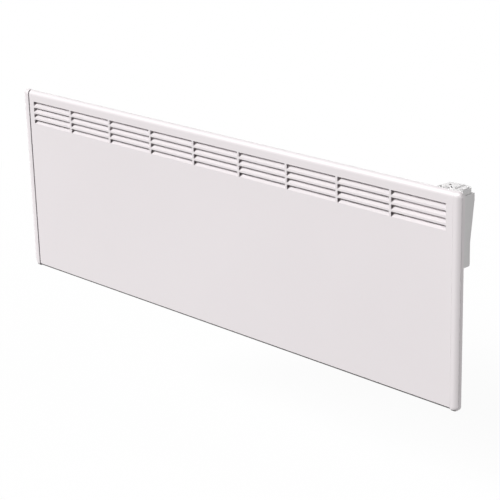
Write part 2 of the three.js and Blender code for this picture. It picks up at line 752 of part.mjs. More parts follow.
function buildElement() {
  const sheathEnd = elementRight + sheathOut;
  const sheath = turned(rod(sheathRadius, -sheathEnd, sheathEnd), right, elementAxis);
  add('heating_element', join(finCross(-elementRight, elementRight, 0), sheath), aluminium);
  add('element_support_middle', supportPlate(0).subtract(finCross(-over, over, seat)), zinc);

  const groove = supportWall / 2 + seat;
  const bore = sheathRadius + seat;
  const spool = [
    [bore, -insulatorHalf], [insulatorRadius, -insulatorHalf], [insulatorRadius, -groove],
    [insulatorNeck, -groove], [insulatorNeck, groove], [insulatorRadius, groove],
    [insulatorRadius, insulatorHalf], [bore, insulatorHalf], [bore, -insulatorHalf],
  ];
  const studStart = sheathEnd + seat;
  [['left', -1], ['right', 1]].forEach(([name, side]) => {
    const x = side * (elementRight + insulatorPlace);
    const hole = turned(rod(insulatorNeck + holePlay, x - over, x + over), right, elementAxis);
    add(`element_support_${name}`, supportPlate(x).subtract(hole), zinc);
    add(`element_insulator_${name}`, turned(spool, right, [x, elementY, elementZ]), ceramic);
    const [from, to] = [studStart, studStart + studLength].map((end) => side * end).sort((a, b) => a - b);
    add(`element_stud_${name}`, turned(rod(studRadius, from, to), right, elementAxis, 12), zinc);
  });
}

function buildCutout() {
  const face = cutoutFace - cutoutHeight;
  const disc = turned(rod(cutoutRadius, face, cutoutFace), back, [cutoutPlace, 0, cutoutZ]);
  const tabs = [-1, 1].map((side) => (
    block(around(cutoutPlace + side * cutoutTabSide, cutoutTabWidth), [face - cutoutTab, face + over],
      around(cutoutZ, cutoutTabWall))
  ));
  add('thermal_cutout', join(disc, ...tabs), darkPlastic);

  const width = around(cutoutPlace, cutoutArm);
  const bottom = cutoutZ - cutoutRadius - cutoutDrop;
  const front = cutoutFace + seat;
  const rear = innerBack - seat;
  const arm = block(width, [front, rear], [bottom, bottom + supportWall]);
  const shelf = block(width, [front, front + supportWall], [bottom, cutoutZ + cutoutRadius]);
  const foot = block(width, [rear - supportWall, rear], [bottom - supportFoot, bottom + supportWall]);
  add('cutout_bracket', join(arm, shelf, foot), zinc);
}

// Wires run through one sleeve from the terminal block into the casing
function wire(name, points, look) {
  const path = new THREE.CatmullRomCurve3(points.map((p) => new THREE.Vector3(...p)), false, 'centripetal');
  const section = new THREE.Shape();
  for (let i = 0; i < wireSides; i += 1) {
    const turn = (2 * Math.PI * i) / wireSides;
    const corner = [wireRadius * Math.cos(turn), wireRadius * Math.sin(turn)];
    if (i === 0) section.moveTo(...corner);
    else section.lineTo(...corner);
  }
  const steps = points.length * 4;
  add(name, solid(new THREE.ExtrudeGeometry(section, { steps, extrudePath: path })), look);
}

function buildWires() {
  const x0 = notchSide - casingWall - sleeveOverhang;
  const x1 = wingSide + boxWall + sleeveOverhang;
  const sleeve = cut(turned(rod(sleeveRadius, x0, x1), right, [0, sleeveY, sleeveZ]),
    turned(rod(sleeveBore, x0 - over, x1 + over), right, [0, sleeveY, sleeveZ]));
  add('wire_sleeve', sleeve, darkPlastic);

  // Each wire drops from its terminal and takes its own third of the sleeve's bore
  const terminalY = blockBack - blockDepth / 2;
  const start = (lane) => {
    const turn = Math.PI * (0.5 - lane * 2 / 3);
    const y = sleeveY + wireSpread * Math.cos(turn);
    const z = sleeveZ + wireSpread * Math.sin(turn);
    const x = terminalX(lane);
    const outside = notchSide - wireBend;
    return [
      [x, terminalY, blockBottom - seat], [x, terminalY, blockBottom - wireBend], [x - wireBend, y, z],
      [x1 + wireBend, y, z], [x1, y, z], [outside, y, z], [outside - wireBend, y, z],
    ];
  };
  const tabEnd = cutoutFace - cutoutHeight - cutoutTab - seat;
  const ahead = tabEnd - wireBend;
  const tabX = [cutoutPlace - cutoutTabSide, cutoutPlace + cutoutTabSide];
  wire('lead_live', [
    ...start(0),
    [notchSide - 45, elementY - 2, sleeveZ - 10], [cutoutPlace + 120, elementY - 4, cutoutZ + 70],
    [cutoutPlace + 30, ahead, cutoutZ + 20], [tabX[1], ahead, cutoutZ + 3], [tabX[1], tabEnd, cutoutZ],
  ], brown);
  const studEnd = elementRight + sheathOut + seat + studLength + seat;
  wire('lead_element', [
    [tabX[0], tabEnd, cutoutZ], [tabX[0], ahead, cutoutZ - 3],
    [cutoutPlace + 24, ahead, cutoutZ - 20], [elementRight - 60, elementY - 4, elementZ + 42],
    [studEnd - 4, elementY - 2, elementZ + 42], [studEnd + wireBend * 2, elementY, elementZ + 22],
    [studEnd + wireBend * 1.5, elementY, elementZ + 3], [studEnd, elementY, elementZ],
  ], brown);
  const rear = innerBack - wireBend;
  wire('lead_neutral', [
    ...start(1),
    [notchSide - 40, rear, sleeveZ - 16], [cutoutPlace + 100, rear, cutoutZ + 90], [0, rear, cutoutZ + 86],
    [-cutoutPlace - 100, rear, cutoutZ + 84], [-studEnd + 30, rear, cutoutZ + 50],
    [-studEnd - wireBend, rear, elementZ + 50],
    [-studEnd - wireBend * 2, elementY, elementZ + 22], [-studEnd - wireBend * 1.5, elementY, elementZ + 3],
    [-studEnd, elementY, elementZ],
  ], blue);
  const earthX = notchSide - 40;
  const earthZ = sleeveZ - 54;
  wire('lead_earth', [
    ...start(2),
    [notchSide - 32, sleeveY + 2, sleeveZ - 22], [earthX, innerBack - wireBend * 1.5, earthZ + 10],
    [earthX, innerBack - wireBend, earthZ], [earthX, innerBack - 2 * seat, earthZ],
  ], yellowGreen);
}

// Wall bracket: two uprights with a hook at the bottom, and the crossbar riveted to their webs
function uprightCheek(bottom, top) {
  const slot = pinRadius + holePlay;
  const cheek = new THREE.Shape();
  cheek.moveTo(0, bottom);
  cheek.lineTo(0, top);
  cheek.lineTo(-bracketDepth, top);
  cheek.lineTo(-bracketDepth, pivotZ + hookHeight);
  cheek.lineTo(pivotY + slot, pivotZ + hookHeight);
  cheek.lineTo(pivotY + slot, pivotZ);
  cheek.absarc(pivotY, pivotZ, slot, 0, -Math.PI, true);
  cheek.lineTo(pivotY - slot, pivotZ + hookHeight);
  cheek.lineTo(pivotY - hookRadius, pivotZ + hookHeight);
  cheek.lineTo(pivotY - hookRadius, pivotZ);
  cheek.absarc(pivotY, pivotZ, hookRadius, Math.PI, 1.5 * Math.PI);
  cheek.lineTo(-bracketDepth + uprightChamfer, bottom);
  cheek.closePath();
  return cheek;
}

const lapFace = -bracketWall - seat; // back of the crossbar's lapped ends
const rivetRows = [crossbarHeight / 4, -crossbarHeight / 4];

function rivetHole(x, z) {
  return turned(rod(rivetRadius + holePlay, -3 * bracketWall, over), back, [x, 0, z], screwSides);
}

function buildUprights() {
  const top = halfHeight - uprightTopDrop;
  const bottom = -halfHeight + uprightBottomRise;
  const half = uprightWidth / 2;
  const lapHeight = crossbarHeight / 2 + seat;
  [['left', -1], ['right', 1]].forEach(([name, side]) => {
    const x = side * bracketSpacing / 2;
    const web = block([x - half, x + half], [-bracketWall, 0], [bottom, top]);
    const cheek = uprightCheek(bottom, top);
    const cheeks = [x - half, x + half - bracketWall].map((x0) => prismX(cheek, x0, x0 + bracketWall));
    const holes = [bottom + wallHoleInset, top - wallHoleInset].map((z) => (
      turned(rod(wallHoleRadius, -bracketWall - over, over), back, [x, 0, z], 12)
    ));
    const window = block(around(x - side * half, 2 * (bracketWall + over)),
      [lapFace - bracketWall - seat, -bracketWall], [-lapHeight, lapHeight]);
    const rivetHoles = rivetRows.map((z) => rivetHole(x, z));
    add(`wall_upright_${name}`, cut(join(web, ...cheeks), window, ...holes, ...rivetHoles), paint);

    const face = lapFace - bracketWall - seat;
    const profile = [
      [0, face - rivetHeadHeight], [rivetHead * 0.6, face - rivetHeadHeight], [rivetHead, face],
      [rivetRadius, face], [rivetRadius, -seat], [0, -seat],
    ];
    rivetRows.forEach((z, i) => {
      add(`bracket_rivet_${name}_${i + 1}`, turned(profile, back, [x, 0, z], screwSides), zinc);
    });
  });
}

// The crossbar lies against the wall and steps out at its ends to lap the uprights' webs
function buildCrossbar() {
  const inner = bracketSpacing / 2 - uprightWidth / 2;
  const end = inner + crossbarLap;
  const step = inner - 2 * bracketWall;
  const front = lapFace - bracketWall;
  const half = crossbarHeight / 2;
  const side = [
    [step - 2 * bracketWall, -bracketWall], [step - bracketWall, front], [end, front], [end, lapFace],
    [step, lapFace], [step - bracketWall, 0],
  ];
  const strip = outline([...side, ...side.map(([x, y]) => [-x, y]).reverse()]);
  const holes = [-1, 1].flatMap((side) => rivetRows.map((z) => rivetHole(side * bracketSpacing / 2, z)));
  add('bracket_crossbar', cut(prismZ(strip, -half, half), ...holes), paint);
}

// Pivots at the casing's lower back: a pin in each upright's hook, the axis that the heater tilts about
function buildPivots() {
  [['left', -1], ['right', 1]].forEach(([name, side]) => {
    const x = side * bracketSpacing / 2;
    const armIn = uprightWidth / 2 + pivotArmGap;
    const armOut = armIn + pivotArm;
    const height = around(pivotZ, pivotArmHeight);
    const plate = block([x - armOut, x + armOut], [casingBack + seat, pivotFoot], height);
    const arms = [x - armOut, x + armIn].map((x0) => (
      block([x0, x0 + pivotArm], [casingBack + seat, pivotY + pinRadius + hookWall], height)
    ));
    const hole = rod(pinRadius + holePlay, x - armOut - over, x + armOut + over);
    add(`pivot_bracket_${name}`, cut(join(plate, ...arms), turned(hole, right, [0, pivotY, pivotZ])), zinc);
    const pin = rod(pinRadius, x - armOut - pinOverhang, x + armOut + pinOverhang);
    add(`pivot_pin_${name}`, turned(pin, right, [0, pivotY, pivotZ]), zinc);
  });
}

// Snap clips on the uprights hold a tongue on the casing's upper back
function clipProfile() {
  const rear = -bracketDepth - seat;
  const front = rear - clipLength;
  const inner = tongueThickness / 2 + seat;
  const outer = inner + clipWall;
  const upper = [
    [rear, outer], [front, outer], [front - clipFlare, outer + clipFlare],
    [front - clipFlare, inner + clipFlare], [front, inner], [rear - clipWall, inner],
  ];
  const lower = upper.map(([y, z]) => [y, -z]).reverse();
  return outline([...upper, ...lower].map(([y, z]) => [y, clipZ + z]));
}

function buildClips() {
  const mount = casingBack + seat;
  [['left', -1], ['right', 1]].forEach(([name, side]) => {
    const x = side * bracketSpacing / 2;
    add(`snap_clip_${name}`, prismX(clipProfile(), ...around(x, uprightWidth)), zinc);
    const width = around(x, tongueWidth);
    const foot = block(width, [mount, mount + tongueFootWall], around(clipZ, tongueFoot));
    const tongue = block(width, [mount, mount + tongueReach], around(clipZ, tongueThickness));
    add(`catch_tongue_${name}`, join(foot, tongue), zinc);
  });
}

buildFrontPanel();
buildTrims();
buildRearCasing();
buildScrews();
buildControlBox();
buildLid();
buildDial();
buildThermostat();
buildSwitch();
buildLens();
buildBoxInside();
buildGland();
buildElement();
buildCutout();
buildWires();
buildUprights();
buildCrossbar();
buildPivots();
buildClips();

export default heater;
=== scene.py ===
import bmesh
import bpy
from math import atan2, cos, pi, radians, sin, sqrt
from mathutils import Matrix, Vector


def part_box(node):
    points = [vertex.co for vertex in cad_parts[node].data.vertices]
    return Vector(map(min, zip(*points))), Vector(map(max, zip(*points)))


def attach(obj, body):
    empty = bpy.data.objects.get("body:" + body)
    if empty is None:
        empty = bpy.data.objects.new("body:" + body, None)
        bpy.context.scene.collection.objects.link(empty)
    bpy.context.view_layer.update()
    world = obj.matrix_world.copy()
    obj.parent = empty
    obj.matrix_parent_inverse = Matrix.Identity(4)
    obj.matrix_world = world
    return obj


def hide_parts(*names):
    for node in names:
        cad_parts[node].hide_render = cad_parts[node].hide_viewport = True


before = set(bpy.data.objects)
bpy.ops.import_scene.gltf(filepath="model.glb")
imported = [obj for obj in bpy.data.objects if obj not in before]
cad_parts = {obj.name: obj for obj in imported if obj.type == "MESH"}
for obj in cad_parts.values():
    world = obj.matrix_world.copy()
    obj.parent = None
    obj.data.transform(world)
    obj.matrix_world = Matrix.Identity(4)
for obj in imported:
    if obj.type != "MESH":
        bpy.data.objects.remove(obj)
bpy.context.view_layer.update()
mm = 0.001


def linked(name, data):
    piece = bpy.data.objects.new(name, data)
    bpy.context.scene.collection.objects.link(piece)
    return piece


# Camera, as the photograph was taken
camera = {"place": (2.22236, -2.16487, 1.00421), "turn": (71.1398, 1.4166, 45.2184), "lens": 118.26,
          "sensor": 36, "sight": 50}


def addCamera():
    data = bpy.data.cameras.new("studioCamera")
    data.lens = camera["lens"]
    data.sensor_width = camera["sensor"]
    data.clip_end = camera["sight"]
    body = linked("studioCamera", data)
    body.location = camera["place"]
    body.rotation_euler = [radians(a) for a in camera["turn"]]
    bpy.context.scene.camera = body


addCamera()


def rgba(shade):
    return (*shade, 1)


# One socket of a node tree, with the maths that the materials and the geometry trees use
class Wire:
    def __init__(self, tree, socket=None):
        self.tree = tree
        self.socket = socket

    # Any node: its type, its sockets' values or links, and its settings, which are set first
    def make(self, kind, values=None, out=0, **settings):
        node = self.tree.nodes.new(kind)
        for key, value in settings.items():
            setattr(node, key, value)
        for key, value in (values or {}).items():
            for one in value if isinstance(value, list) else [value]:
                if isinstance(one, Wire):
                    self.tree.links.new(one.socket, node.inputs[key])
                else:
                    node.inputs[key].default_value = one
        return Wire(self.tree, node.outputs[out] if len(node.outputs) else None)

    def maths(self, operation, *values):
        return self.make("ShaderNodeMath", dict(enumerate(values)), operation=operation)

    def __add__(self, value):
        return self.maths("ADD", self, value)

    def __sub__(self, value):
        return self.maths("SUBTRACT", self, value)

    def __rsub__(self, value):
        return self.maths("SUBTRACT", value, self)

    def __mul__(self, value):
        return self.maths("MULTIPLY", self, value)

    def __truediv__(self, value):
        return self.maths("DIVIDE", self, value)

    def __rtruediv__(self, value):
        return self.maths("DIVIDE", value, self)

    def __gt__(self, value):
        return self.maths("GREATER_THAN", self, value)

    __radd__ = __add__
    __rmul__ = __mul__

    def axis(self, name):
        return self.make("ShaderNodeSeparateXYZ", {"Vector": self}, name)

    def noise(self, scale, detail=2.0, rough=0.5):
        return self.make("ShaderNodeTexNoise",
                         {"Vector": self, "Scale": scale, "Detail": detail, "Roughness": rough})

    def stretched(self, x, y, z):
        return self.make("ShaderNodeMapping", {"Vector": self, "Scale": (x, y, z)})

    def ranged(self, low, high, newLow, newHigh):
        return self.make("ShaderNodeMapRange", {
            "Value": self, "From Min": low, "From Max": high, "To Min": newLow, "To Max": newHigh})

    def mixed(self, first, second):
        first, second = [s if isinstance(s, Wire) else rgba(s) for s in (first, second)]
        return self.make("ShaderNodeMix", {"Factor": self, 6: first, 7: second}, 2, data_type="RGBA")

    def bump(self, strength, distance):
        return self.make("ShaderNodeBump", {"Height": self, "Strength": strength, "Distance": distance})


# A finish starts with where on the piece a point lies, and ends with its shader
def newFinish(name):
    finish = bpy.data.materials.new(name)
    finish.use_nodes = True
    finish.node_tree.nodes.clear()
    return finish, Wire(finish.node_tree).make("ShaderNodeTexCoord", out="Object")


def closeFinish(finish, place, values):
    shader = place.make("ShaderNodeBsdfPrincipled", values)
    place.make("ShaderNodeOutputMaterial", {"Surface": shader})
    return finish


# The dark grey given here, below one height and in front of one depth, is a painted shade on the lowest fold
# and the hem
coat = {"shade": (0.79, 0.745, 0.76), "lift": (0.81, 0.765, 0.78), "roughness": 0.40, "peel": 900,
        "depth": 0.00004, "dusty": (0.14, 0.134, 0.136), "shadeLine": (-0.1958, -0.1953),
        "shadeBack": (-0.0794, -0.0790)}
# On the trims the painted shade sits lower, on their own lowest fold
trimCoat = {**coat, "shadeLine": (-0.1986, -0.1976)}


# Powder coat: an even white with orange peel and a faint drift in tone, and a painted shade, dark grey, on
# the lowest fold and the hem
def makePaint(name, spec):
    finish, place = newFinish(name)
    drift = place.noise(2.2, 3).ranged(0.35, 0.65, 0, 1)
    peel = place.noise(spec["peel"], 2, 0.6)
    speck = place.noise(spec["peel"] * 4, 1)
    # Painted shade: below one height and in front of one depth the colour turns dark grey
    above = place.axis("Z").ranged(*spec["shadeLine"], 0, 1)
    behind = place.axis("Y").ranged(*spec["shadeBack"], 0, 1)
    unshaded = place.maths("MAXIMUM", above, behind)
    return closeFinish(finish, place, {
        "Base Color": unshaded.mixed(spec["dusty"], drift.mixed(spec["shade"], spec["lift"])),
        "Roughness": (peel * 0.10) + (spec["roughness"] - 0.05),
        "Normal": (peel + speck * 0.3).bump(0.35, spec["depth"]),
    })


moulding = {"shade": (0.775, 0.765, 0.765), "lift": (0.80, 0.79, 0.79), "roughness": 0.46, "grain": 2400,
            "depth": 0.00005, "sheen": 0.08}
darkMoulding = {"shade": (0.022, 0.022, 0.024), "lift": (0.05, 0.05, 0.054), "roughness": 0.48, "grain": 2600,
                "depth": 0.00006, "sheen": 0.5}
softRubber = {"shade": (0.018, 0.018, 0.018), "lift": (0.04, 0.039, 0.038), "roughness": 0.72, "grain": 1500,
              "depth": 0.00008, "sheen": 0.5}
clay = {"shade": (0.74, 0.69, 0.60), "lift": (0.82, 0.78, 0.70), "roughness": 0.66, "grain": 1800,
        "depth": 0.00007, "sheen": 0.5}
printInk = {"shade": (0.03, 0.03, 0.032), "lift": (0.05, 0.05, 0.052), "roughness": 0.6, "grain": 3000,
            "depth": 0.00002, "sheen": 0.5}


# Moulded plastic: spark-eroded grain with slightly glossier rubbed patches; rubber, ceramic and print too
def makePlastic(name, spec):
    finish, place = newFinish(name)
    grain = place.noise(spec["grain"], 3, 0.65)
    rubbed = place.noise(38, 2).ranged(0.45, 0.75, 0, 1)
    return closeFinish(finish, place, {
        "Base Color": place.noise(14, 2).mixed(spec["shade"], spec["lift"]),
        "Roughness": (grain * 0.16) + (spec["roughness"] - 0.08) - (rubbed * 0.07),
        "Normal": grain.bump(0.4, spec["depth"]),
        "Specular IOR Level": spec["sheen"],
    })


zinc = {"dark": (0.40, 0.42, 0.45), "bright": (0.62, 0.64, 0.66), "roughness": 0.38, "spangle": 260}


# Zinc plate: spangled grain under fine drawing lines
def makeZinc(name, spec):
    finish, place = newFinish(name)
    cells = place.make("ShaderNodeTexVoronoi", {"Vector": place, "Scale": spec["spangle"]}, "Color")
    spangle = cells.make("ShaderNodeSeparateColor", {"Color": cells})
    lines = place.stretched(40, 900, 900).noise(4, 3)
    tone = (spangle * 0.5) + (place.noise(30, 3) * 0.5)
    return closeFinish(finish, place, {
        "Base Color": tone.mixed(spec["dark"], spec["bright"]),
        "Metallic": 1.0,
        "Roughness": (spangle * 0.12) + (lines * 0.10) + (spec["roughness"] - 0.10),
        "Normal": lines.bump(0.2, 0.00003),
    })


extrusion = {"dark": (0.58, 0.59, 0.60), "bright": (0.74, 0.75, 0.76), "roughness": 0.42}


# Extruded aluminium: long die lines and a dull oxide bloom
def makeAluminium(name, spec):
    finish, place = newFinish(name)
    die = place.stretched(3, 1400, 1400).noise(1.0, 3)
    bloom = place.noise(26, 4)
    return closeFinish(finish, place, {
        "Base Color": ((die * 0.5) + (bloom * 0.5)).mixed(spec["dark"], spec["bright"]),
        "Metallic": 0.9,
        "Roughness": (bloom * 0.2) + (spec["roughness"] - 0.1),
        "Normal": die.bump(0.25, 0.00004),
    })


laminate = {"mask": (0.030, 0.125, 0.060), "track": (0.055, 0.20, 0.095), "pitch": 210}


# Circuit board: solder mask over faint copper tracks
def makeLaminate(name, spec):
    finish, place = newFinish(name)
    jog = place.make("ShaderNodeTexVoronoi", {"Vector": place, "Scale": spec["pitch"] / 3}, "Distance",
                     distance="MANHATTAN")
    lane = place.maths("FRACT", (place.axis("X") * spec["pitch"]) + (jog * 1.4))
    track = (lane > 0.55) * (jog > 0.22)
    return closeFinish(finish, place, {
        "Base Color": track.mixed(spec["mask"], spec["track"]),
        "Roughness": place.noise(90, 2).ranged(0.3, 0.7, 0.24, 0.36),
        "Normal": track.bump(0.3, 0.00006),
    })


lensTint = {"shade": (0.10, 0.075, 0.065), "lift": (0.12, 0.09, 0.078), "clear": 0.35, "bend": 1.49}


# A dark tinted lens, clear enough to show that there is something behind it
def makeLens(name, spec):
    finish, place = newFinish(name)
    flow = place.noise(160, 2)
    return closeFinish(finish, place, {
        "Base Color": flow.mixed(spec["shade"], spec["lift"]),
        "Roughness": flow.ranged(0.3, 0.7, 0.08, 0.16),
        "Transmission Weight": spec["clear"],
        "IOR": spec["bend"],
        "Normal": flow.bump(0.1, 0.00004),
    })


# Wire insulation; the earth lead carries a stripe that runs along it
def makeSleeve(name, shade, stripe=None):
    finish, place = newFinish(name)
    grain = place.noise(1200, 2)
    if stripe is None:
        tone = grain.mixed(shade, [c * 1.25 for c in shade])
    else:
        tone = (place.maths("FRACT", place.axis("Y") * 360) > 0.62).mixed(shade, stripe)
    return closeFinish(finish, place, {
        "Base Color": tone,
        "Roughness": grain.ranged(0.3, 0.7, 0.42, 0.58),
        "Normal": grain.bump(0.2, 0.00004),
    })


# Each finish, behind the slot that it fills
paint = "painted_steel", makePaint("powderCoat", coat)
trimPaint = "painted_steel", makePaint("trimCoat", trimCoat)
whitePlastic = "white_plastic", makePlastic("whiteMoulding", moulding)
zincPlate = "zinc_steel", makeZinc("zincPlate", zinc)
aluminium = "aluminium_fins", makeAluminium("finAluminium", extrusion)
blackPlastic = "black_plastic", makePlastic("blackMoulding", darkMoulding)
rubber = "rubber", makePlastic("sleeveRubber", softRubber)
glandRubber = "black_plastic", rubber[1]
ceramic = "ceramic", makePlastic("creamCeramic", clay)
ink = "black_plastic", makePlastic("greyPrint", printInk)
board = "board_laminate", makeLaminate("boardLaminate", laminate)
darkLens = "amber_lens", makeLens("tintedLens", lensTint)
brownWire = "brown_wire", makeSleeve("brownInsulation", (0.16, 0.06, 0.025))
blueWire = "blue_wire", makeSleeve("blueInsulation", (0.035, 0.10, 0.32))
earthWire = "earth_wire", makeSleeve("earthInsulation", (0.13, 0.34, 0.05), (0.72, 0.62, 0.05))
print("finishes made")


# Shapes, in millimetres until they become a mesh
def metres(point):
    return [c * mm for c in point]


# Merges close points, dissolves flat edges, pairs triangles or turns the faces outwards, as it is asked
def remake(mesh, merge=0, flat=0, paired=False, outward=False):
    work = bmesh.new()
    work.from_mesh(mesh)
    if merge:
        bmesh.ops.remove_doubles(work, verts=work.verts, dist=merge)
    if flat:
        bmesh.ops.dissolve_limit(work, angle_limit=radians(flat), verts=work.verts, edges=work.edges)
    if paired:
        bmesh.ops.join_triangles(work, faces=work.faces, angle_face_threshold=radians(25),
                                 angle_shape_threshold=radians(60))
    if outward:
        bmesh.ops.recalc_face_normals(work, faces=work.faces)
    work.to_mesh(mesh)
    work.free()


def toObject(name, points, faces):
    mesh = bpy.data.meshes.new(name)
    mesh.from_pydata([metres(p) for p in points], [], faces)
    remake(mesh, outward=True)
    return linked(name, mesh)


# Rings of equal length joined into a closed skin; without caps the last ring joins the first
def loft(name, rings, capped=True):
    size = len(rings[0])
    points = [p for ring in rings for p in ring]
    faces = []
    count = len(rings)
    for r in range(count - 1 if capped else count):
        low, high = r * size, ((r + 1) % count) * size
        for k in range(size):
            n = (k + 1) % size
            faces.append((low + k, low + n, high + n, high + k))
    if capped:
        faces.append(list(range(size))[::-1])
        faces.append([(count - 1) * size + k for k in range(size)])
    return toObject(name, points, faces)


# A polygon with its corners turned to arcs; one radius for all, or one for each corner
def rounded(corners, radii, steps=6):
    size = len(corners)
    if not isinstance(radii, (list, tuple)):
        radii = [radii] * size
    points = []
    for k, corner in enumerate(corners):
        here = Vector(corner)
        before = (Vector(corners[k - 1]) - here).normalized()
        after = (Vector(corners[(k + 1) % size]) - here).normalized()
        half = before.angle(after) / 2
        radius = max(radii[k], 0.02)
        reach = radius / max(1e-6, sin(half) / cos(half))
        centre = here + (before + after).normalized() * (radius / sin(half))
        start = here + before * reach - centre
        end = here + after * reach - centre
        for s in range(steps + 1):
            ray = start.lerp(end, s / steps)
            points.append(centre + ray.normalized() * radius)
    return [(p.x, p.y) for p in points]


def rectangle(x0, x1, z0, z1):
    return [(x0, z0), (x1, z0), (x1, z1), (x0, z1)]


def around(centre, size):
    return (centre - size / 2, centre + size / 2)


def arc(centre, radius, start, end, steps):
    angles = [start + (end - start) * k / steps for k in range(steps + 1)]
    return [(centre[0] + radius * cos(a), centre[1] + radius * sin(a)) for a in angles]


# A quarter round in so many steps, as pairs of cosine and sine
def quarter(steps):
    return [(cos(pi / 2 * k / steps), sin(pi / 2 * k / steps)) for k in range(steps + 1)]


def placed(point, axis, level):
    u, v = point
    return {"X": (level, u, v), "Y": (u, level, v), "Z": (u, v, level)}[axis]


def prism(name, outline, axis, low, high):
    return loft(name, [[placed(p, axis, level) for p in outline] for level in (low, high)])


def slab(name, x, y, z, radius=0, steps=3):
    piece = prism(name, rectangle(*x, *y), "Z", *z)
    if radius:
        softenEdges(piece, radius, steps)
    return piece


def lathe(name, profile, axis, centre, steps=64):
    rings = []
    for k in range(steps):
        turn = 2 * pi * k / steps
        ring = []
        for radius, along in profile:
            u, v = radius * cos(turn), radius * sin(turn)
            at = {"X": (along, u, v), "Y": (v, along, u), "Z": (u, v, along)}[axis]
            ring.append([a + b for a, b in zip(at, centre)])
        rings.append(ring)
    piece = loft(name, rings, capped=False)
    remake(piece.data, merge=1e-7, outward=True)
    return piece


def rod(name, radius, axis, centre, low, high, soft=0.0, steps=48):
    profile = [(0, low), (radius - soft, low), (radius, low + soft), (radius, high - soft),
               (radius - soft, high), (0, high)]
    return lathe(name, profile, axis, centre, steps)


# Adds a modifier and its settings
def modify(piece, kind, **values):
    modifier = piece.modifiers.new(kind.lower(), kind)
    for key, value in values.items():
        setattr(modifier, key, value)


# Bakes what a piece's modifiers do into its own mesh
def settle(piece):
    bpy.context.view_layer.update()
    graph = bpy.context.evaluated_depsgraph_get()
    mesh = bpy.data.meshes.new_from_object(piece.evaluated_get(graph), depsgraph=graph)
    piece.modifiers.clear()
    piece.data = mesh
    return piece


def softenEdges(piece, width, steps=2, limit=30):
    modify(piece, "BEVEL", width=width * mm, segments=steps, limit_method="ANGLE", angle_limit=radians(limit),
           use_clamp_overlap=True)
    return settle(piece)


def carve(piece, tools, operation="DIFFERENCE"):
    for tool in tools:
        modify(piece, "BOOLEAN", solver="MANIFOLD", operation=operation, object=tool)
    settle(piece)
    for tool in tools:
        bpy.data.objects.remove(tool)
    return piece


def fuse(piece, tools):
    return carve(piece, tools, "UNION")


def moved(piece, matrix):
    piece.data.transform(matrix)
    return piece


# Puts loose pieces into one object
def gather(name, parts):
    work = bmesh.new()
    for part in parts:
        work.from_mesh(part.data)
        bpy.data.objects.remove(part)
    mesh = bpy.data.meshes.new(name)
    work.to_mesh(mesh)
    work.free()
    return linked(name, mesh)


# Gives a shape its finish, smooth shading, the nodes that it replaces and the body that it moves with
def complete(piece, name, finish, *nodes, body="heater", smooth=40):
    slot, material = finish
    piece.name = name
    piece.data.name = name
    piece.data.materials.clear()
    piece.data.materials.append(material)
    piece.data.shade_smooth()
    piece.data.set_sharp_from_angle(angle=radians(smooth))
    modify(piece, "WEIGHTED_NORMAL", keep_sharp=True, weight=80)
    settle(piece)
    if nodes:
        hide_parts(*nodes)
    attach(piece, body)


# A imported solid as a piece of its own, its loose triangles merged first
def copied(node, **changes):
    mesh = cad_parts[node].data.copy()
    remake(mesh, **changes)
    mesh.materials.clear()
    return linked(node, mesh)


# Geometry trees; each has its sizes as named inputs, and the finish that it gives
def newTree(name, sizes):
    tree = bpy.data.node_groups.new(name, "GeometryNodeTree")
    tree.interface.new_socket("Geometry", in_out="OUTPUT", socket_type="NodeSocketGeometry")
    kinds = {int: "NodeSocketInt", float: "NodeSocketFloat", tuple: "NodeSocketVector"}
    inputs = {"Geometry": "NodeSocketGeometry", **sizes, "Finish": "NodeSocketMaterial"}
    for label, value in inputs.items():
        kind = value if isinstance(value, str) else kinds[type(value)]
        item = tree.interface.new_socket(label, in_out="INPUT", socket_type=kind)
        if not isinstance(value, str):
            item.default_value = value
    entry = tree.nodes.new("NodeGroupInput")
    return {s.name: Wire(tree, s) for s in entry.outputs if s.name}


def lineOf(count, step, first=(0, 0, 0)):
    return count.make("GeometryNodeMeshLine", {"Count": count, "Start Location": first, "Offset": step},
                      mode="OFFSET")


def copiesAt(points, tool, turn=(0, 0, 0)):
    shape = tool.make("GeometryNodeObjectInfo", {"Object": tool}, "Geometry")
    return tool.make("GeometryNodeInstanceOnPoints", {"Points": points, "Instance": shape, "Rotation": turn})


def realised(copies):
    return copies.make("GeometryNodeRealizeInstances", {"Geometry": copies})


def cutOut(solid, copies):
    return solid.make("GeometryNodeMeshBoolean", {"Mesh 1": solid, "Mesh 2": realised(copies)},
                      operation="DIFFERENCE", solver="MANIFOLD")


def joinedTo(solid, copies):
    return solid.make("GeometryNodeMeshBoolean", {"Mesh 2": [solid, realised(copies)]},
                      operation="UNION", solver="MANIFOLD")


def closeTree(result, size):
    solid = realised(result)
    dressed = solid.make("GeometryNodeSetMaterial", {"Geometry": solid, "Material": size["Finish"]})
    dressed.make("NodeGroupOutput", {0: dressed})
    return result.tree


# Runs a tree on a piece, and removes the shapes that it has used up
def runTree(piece, tree, finish, values):
    modifier = piece.modifiers.new(tree.name, "NODES")
    modifier.node_group = tree
    sockets = {i.name: i.identifier for i in tree.interface.items_tree if i.in_out == "INPUT"}
    for label, value in {**values, "Finish": finish[1]}.items():
        modifier[sockets[label]] = value
    settle(piece)
    for value in values.values():
        if isinstance(value, bpy.types.Object):
            bpy.data.objects.remove(value)


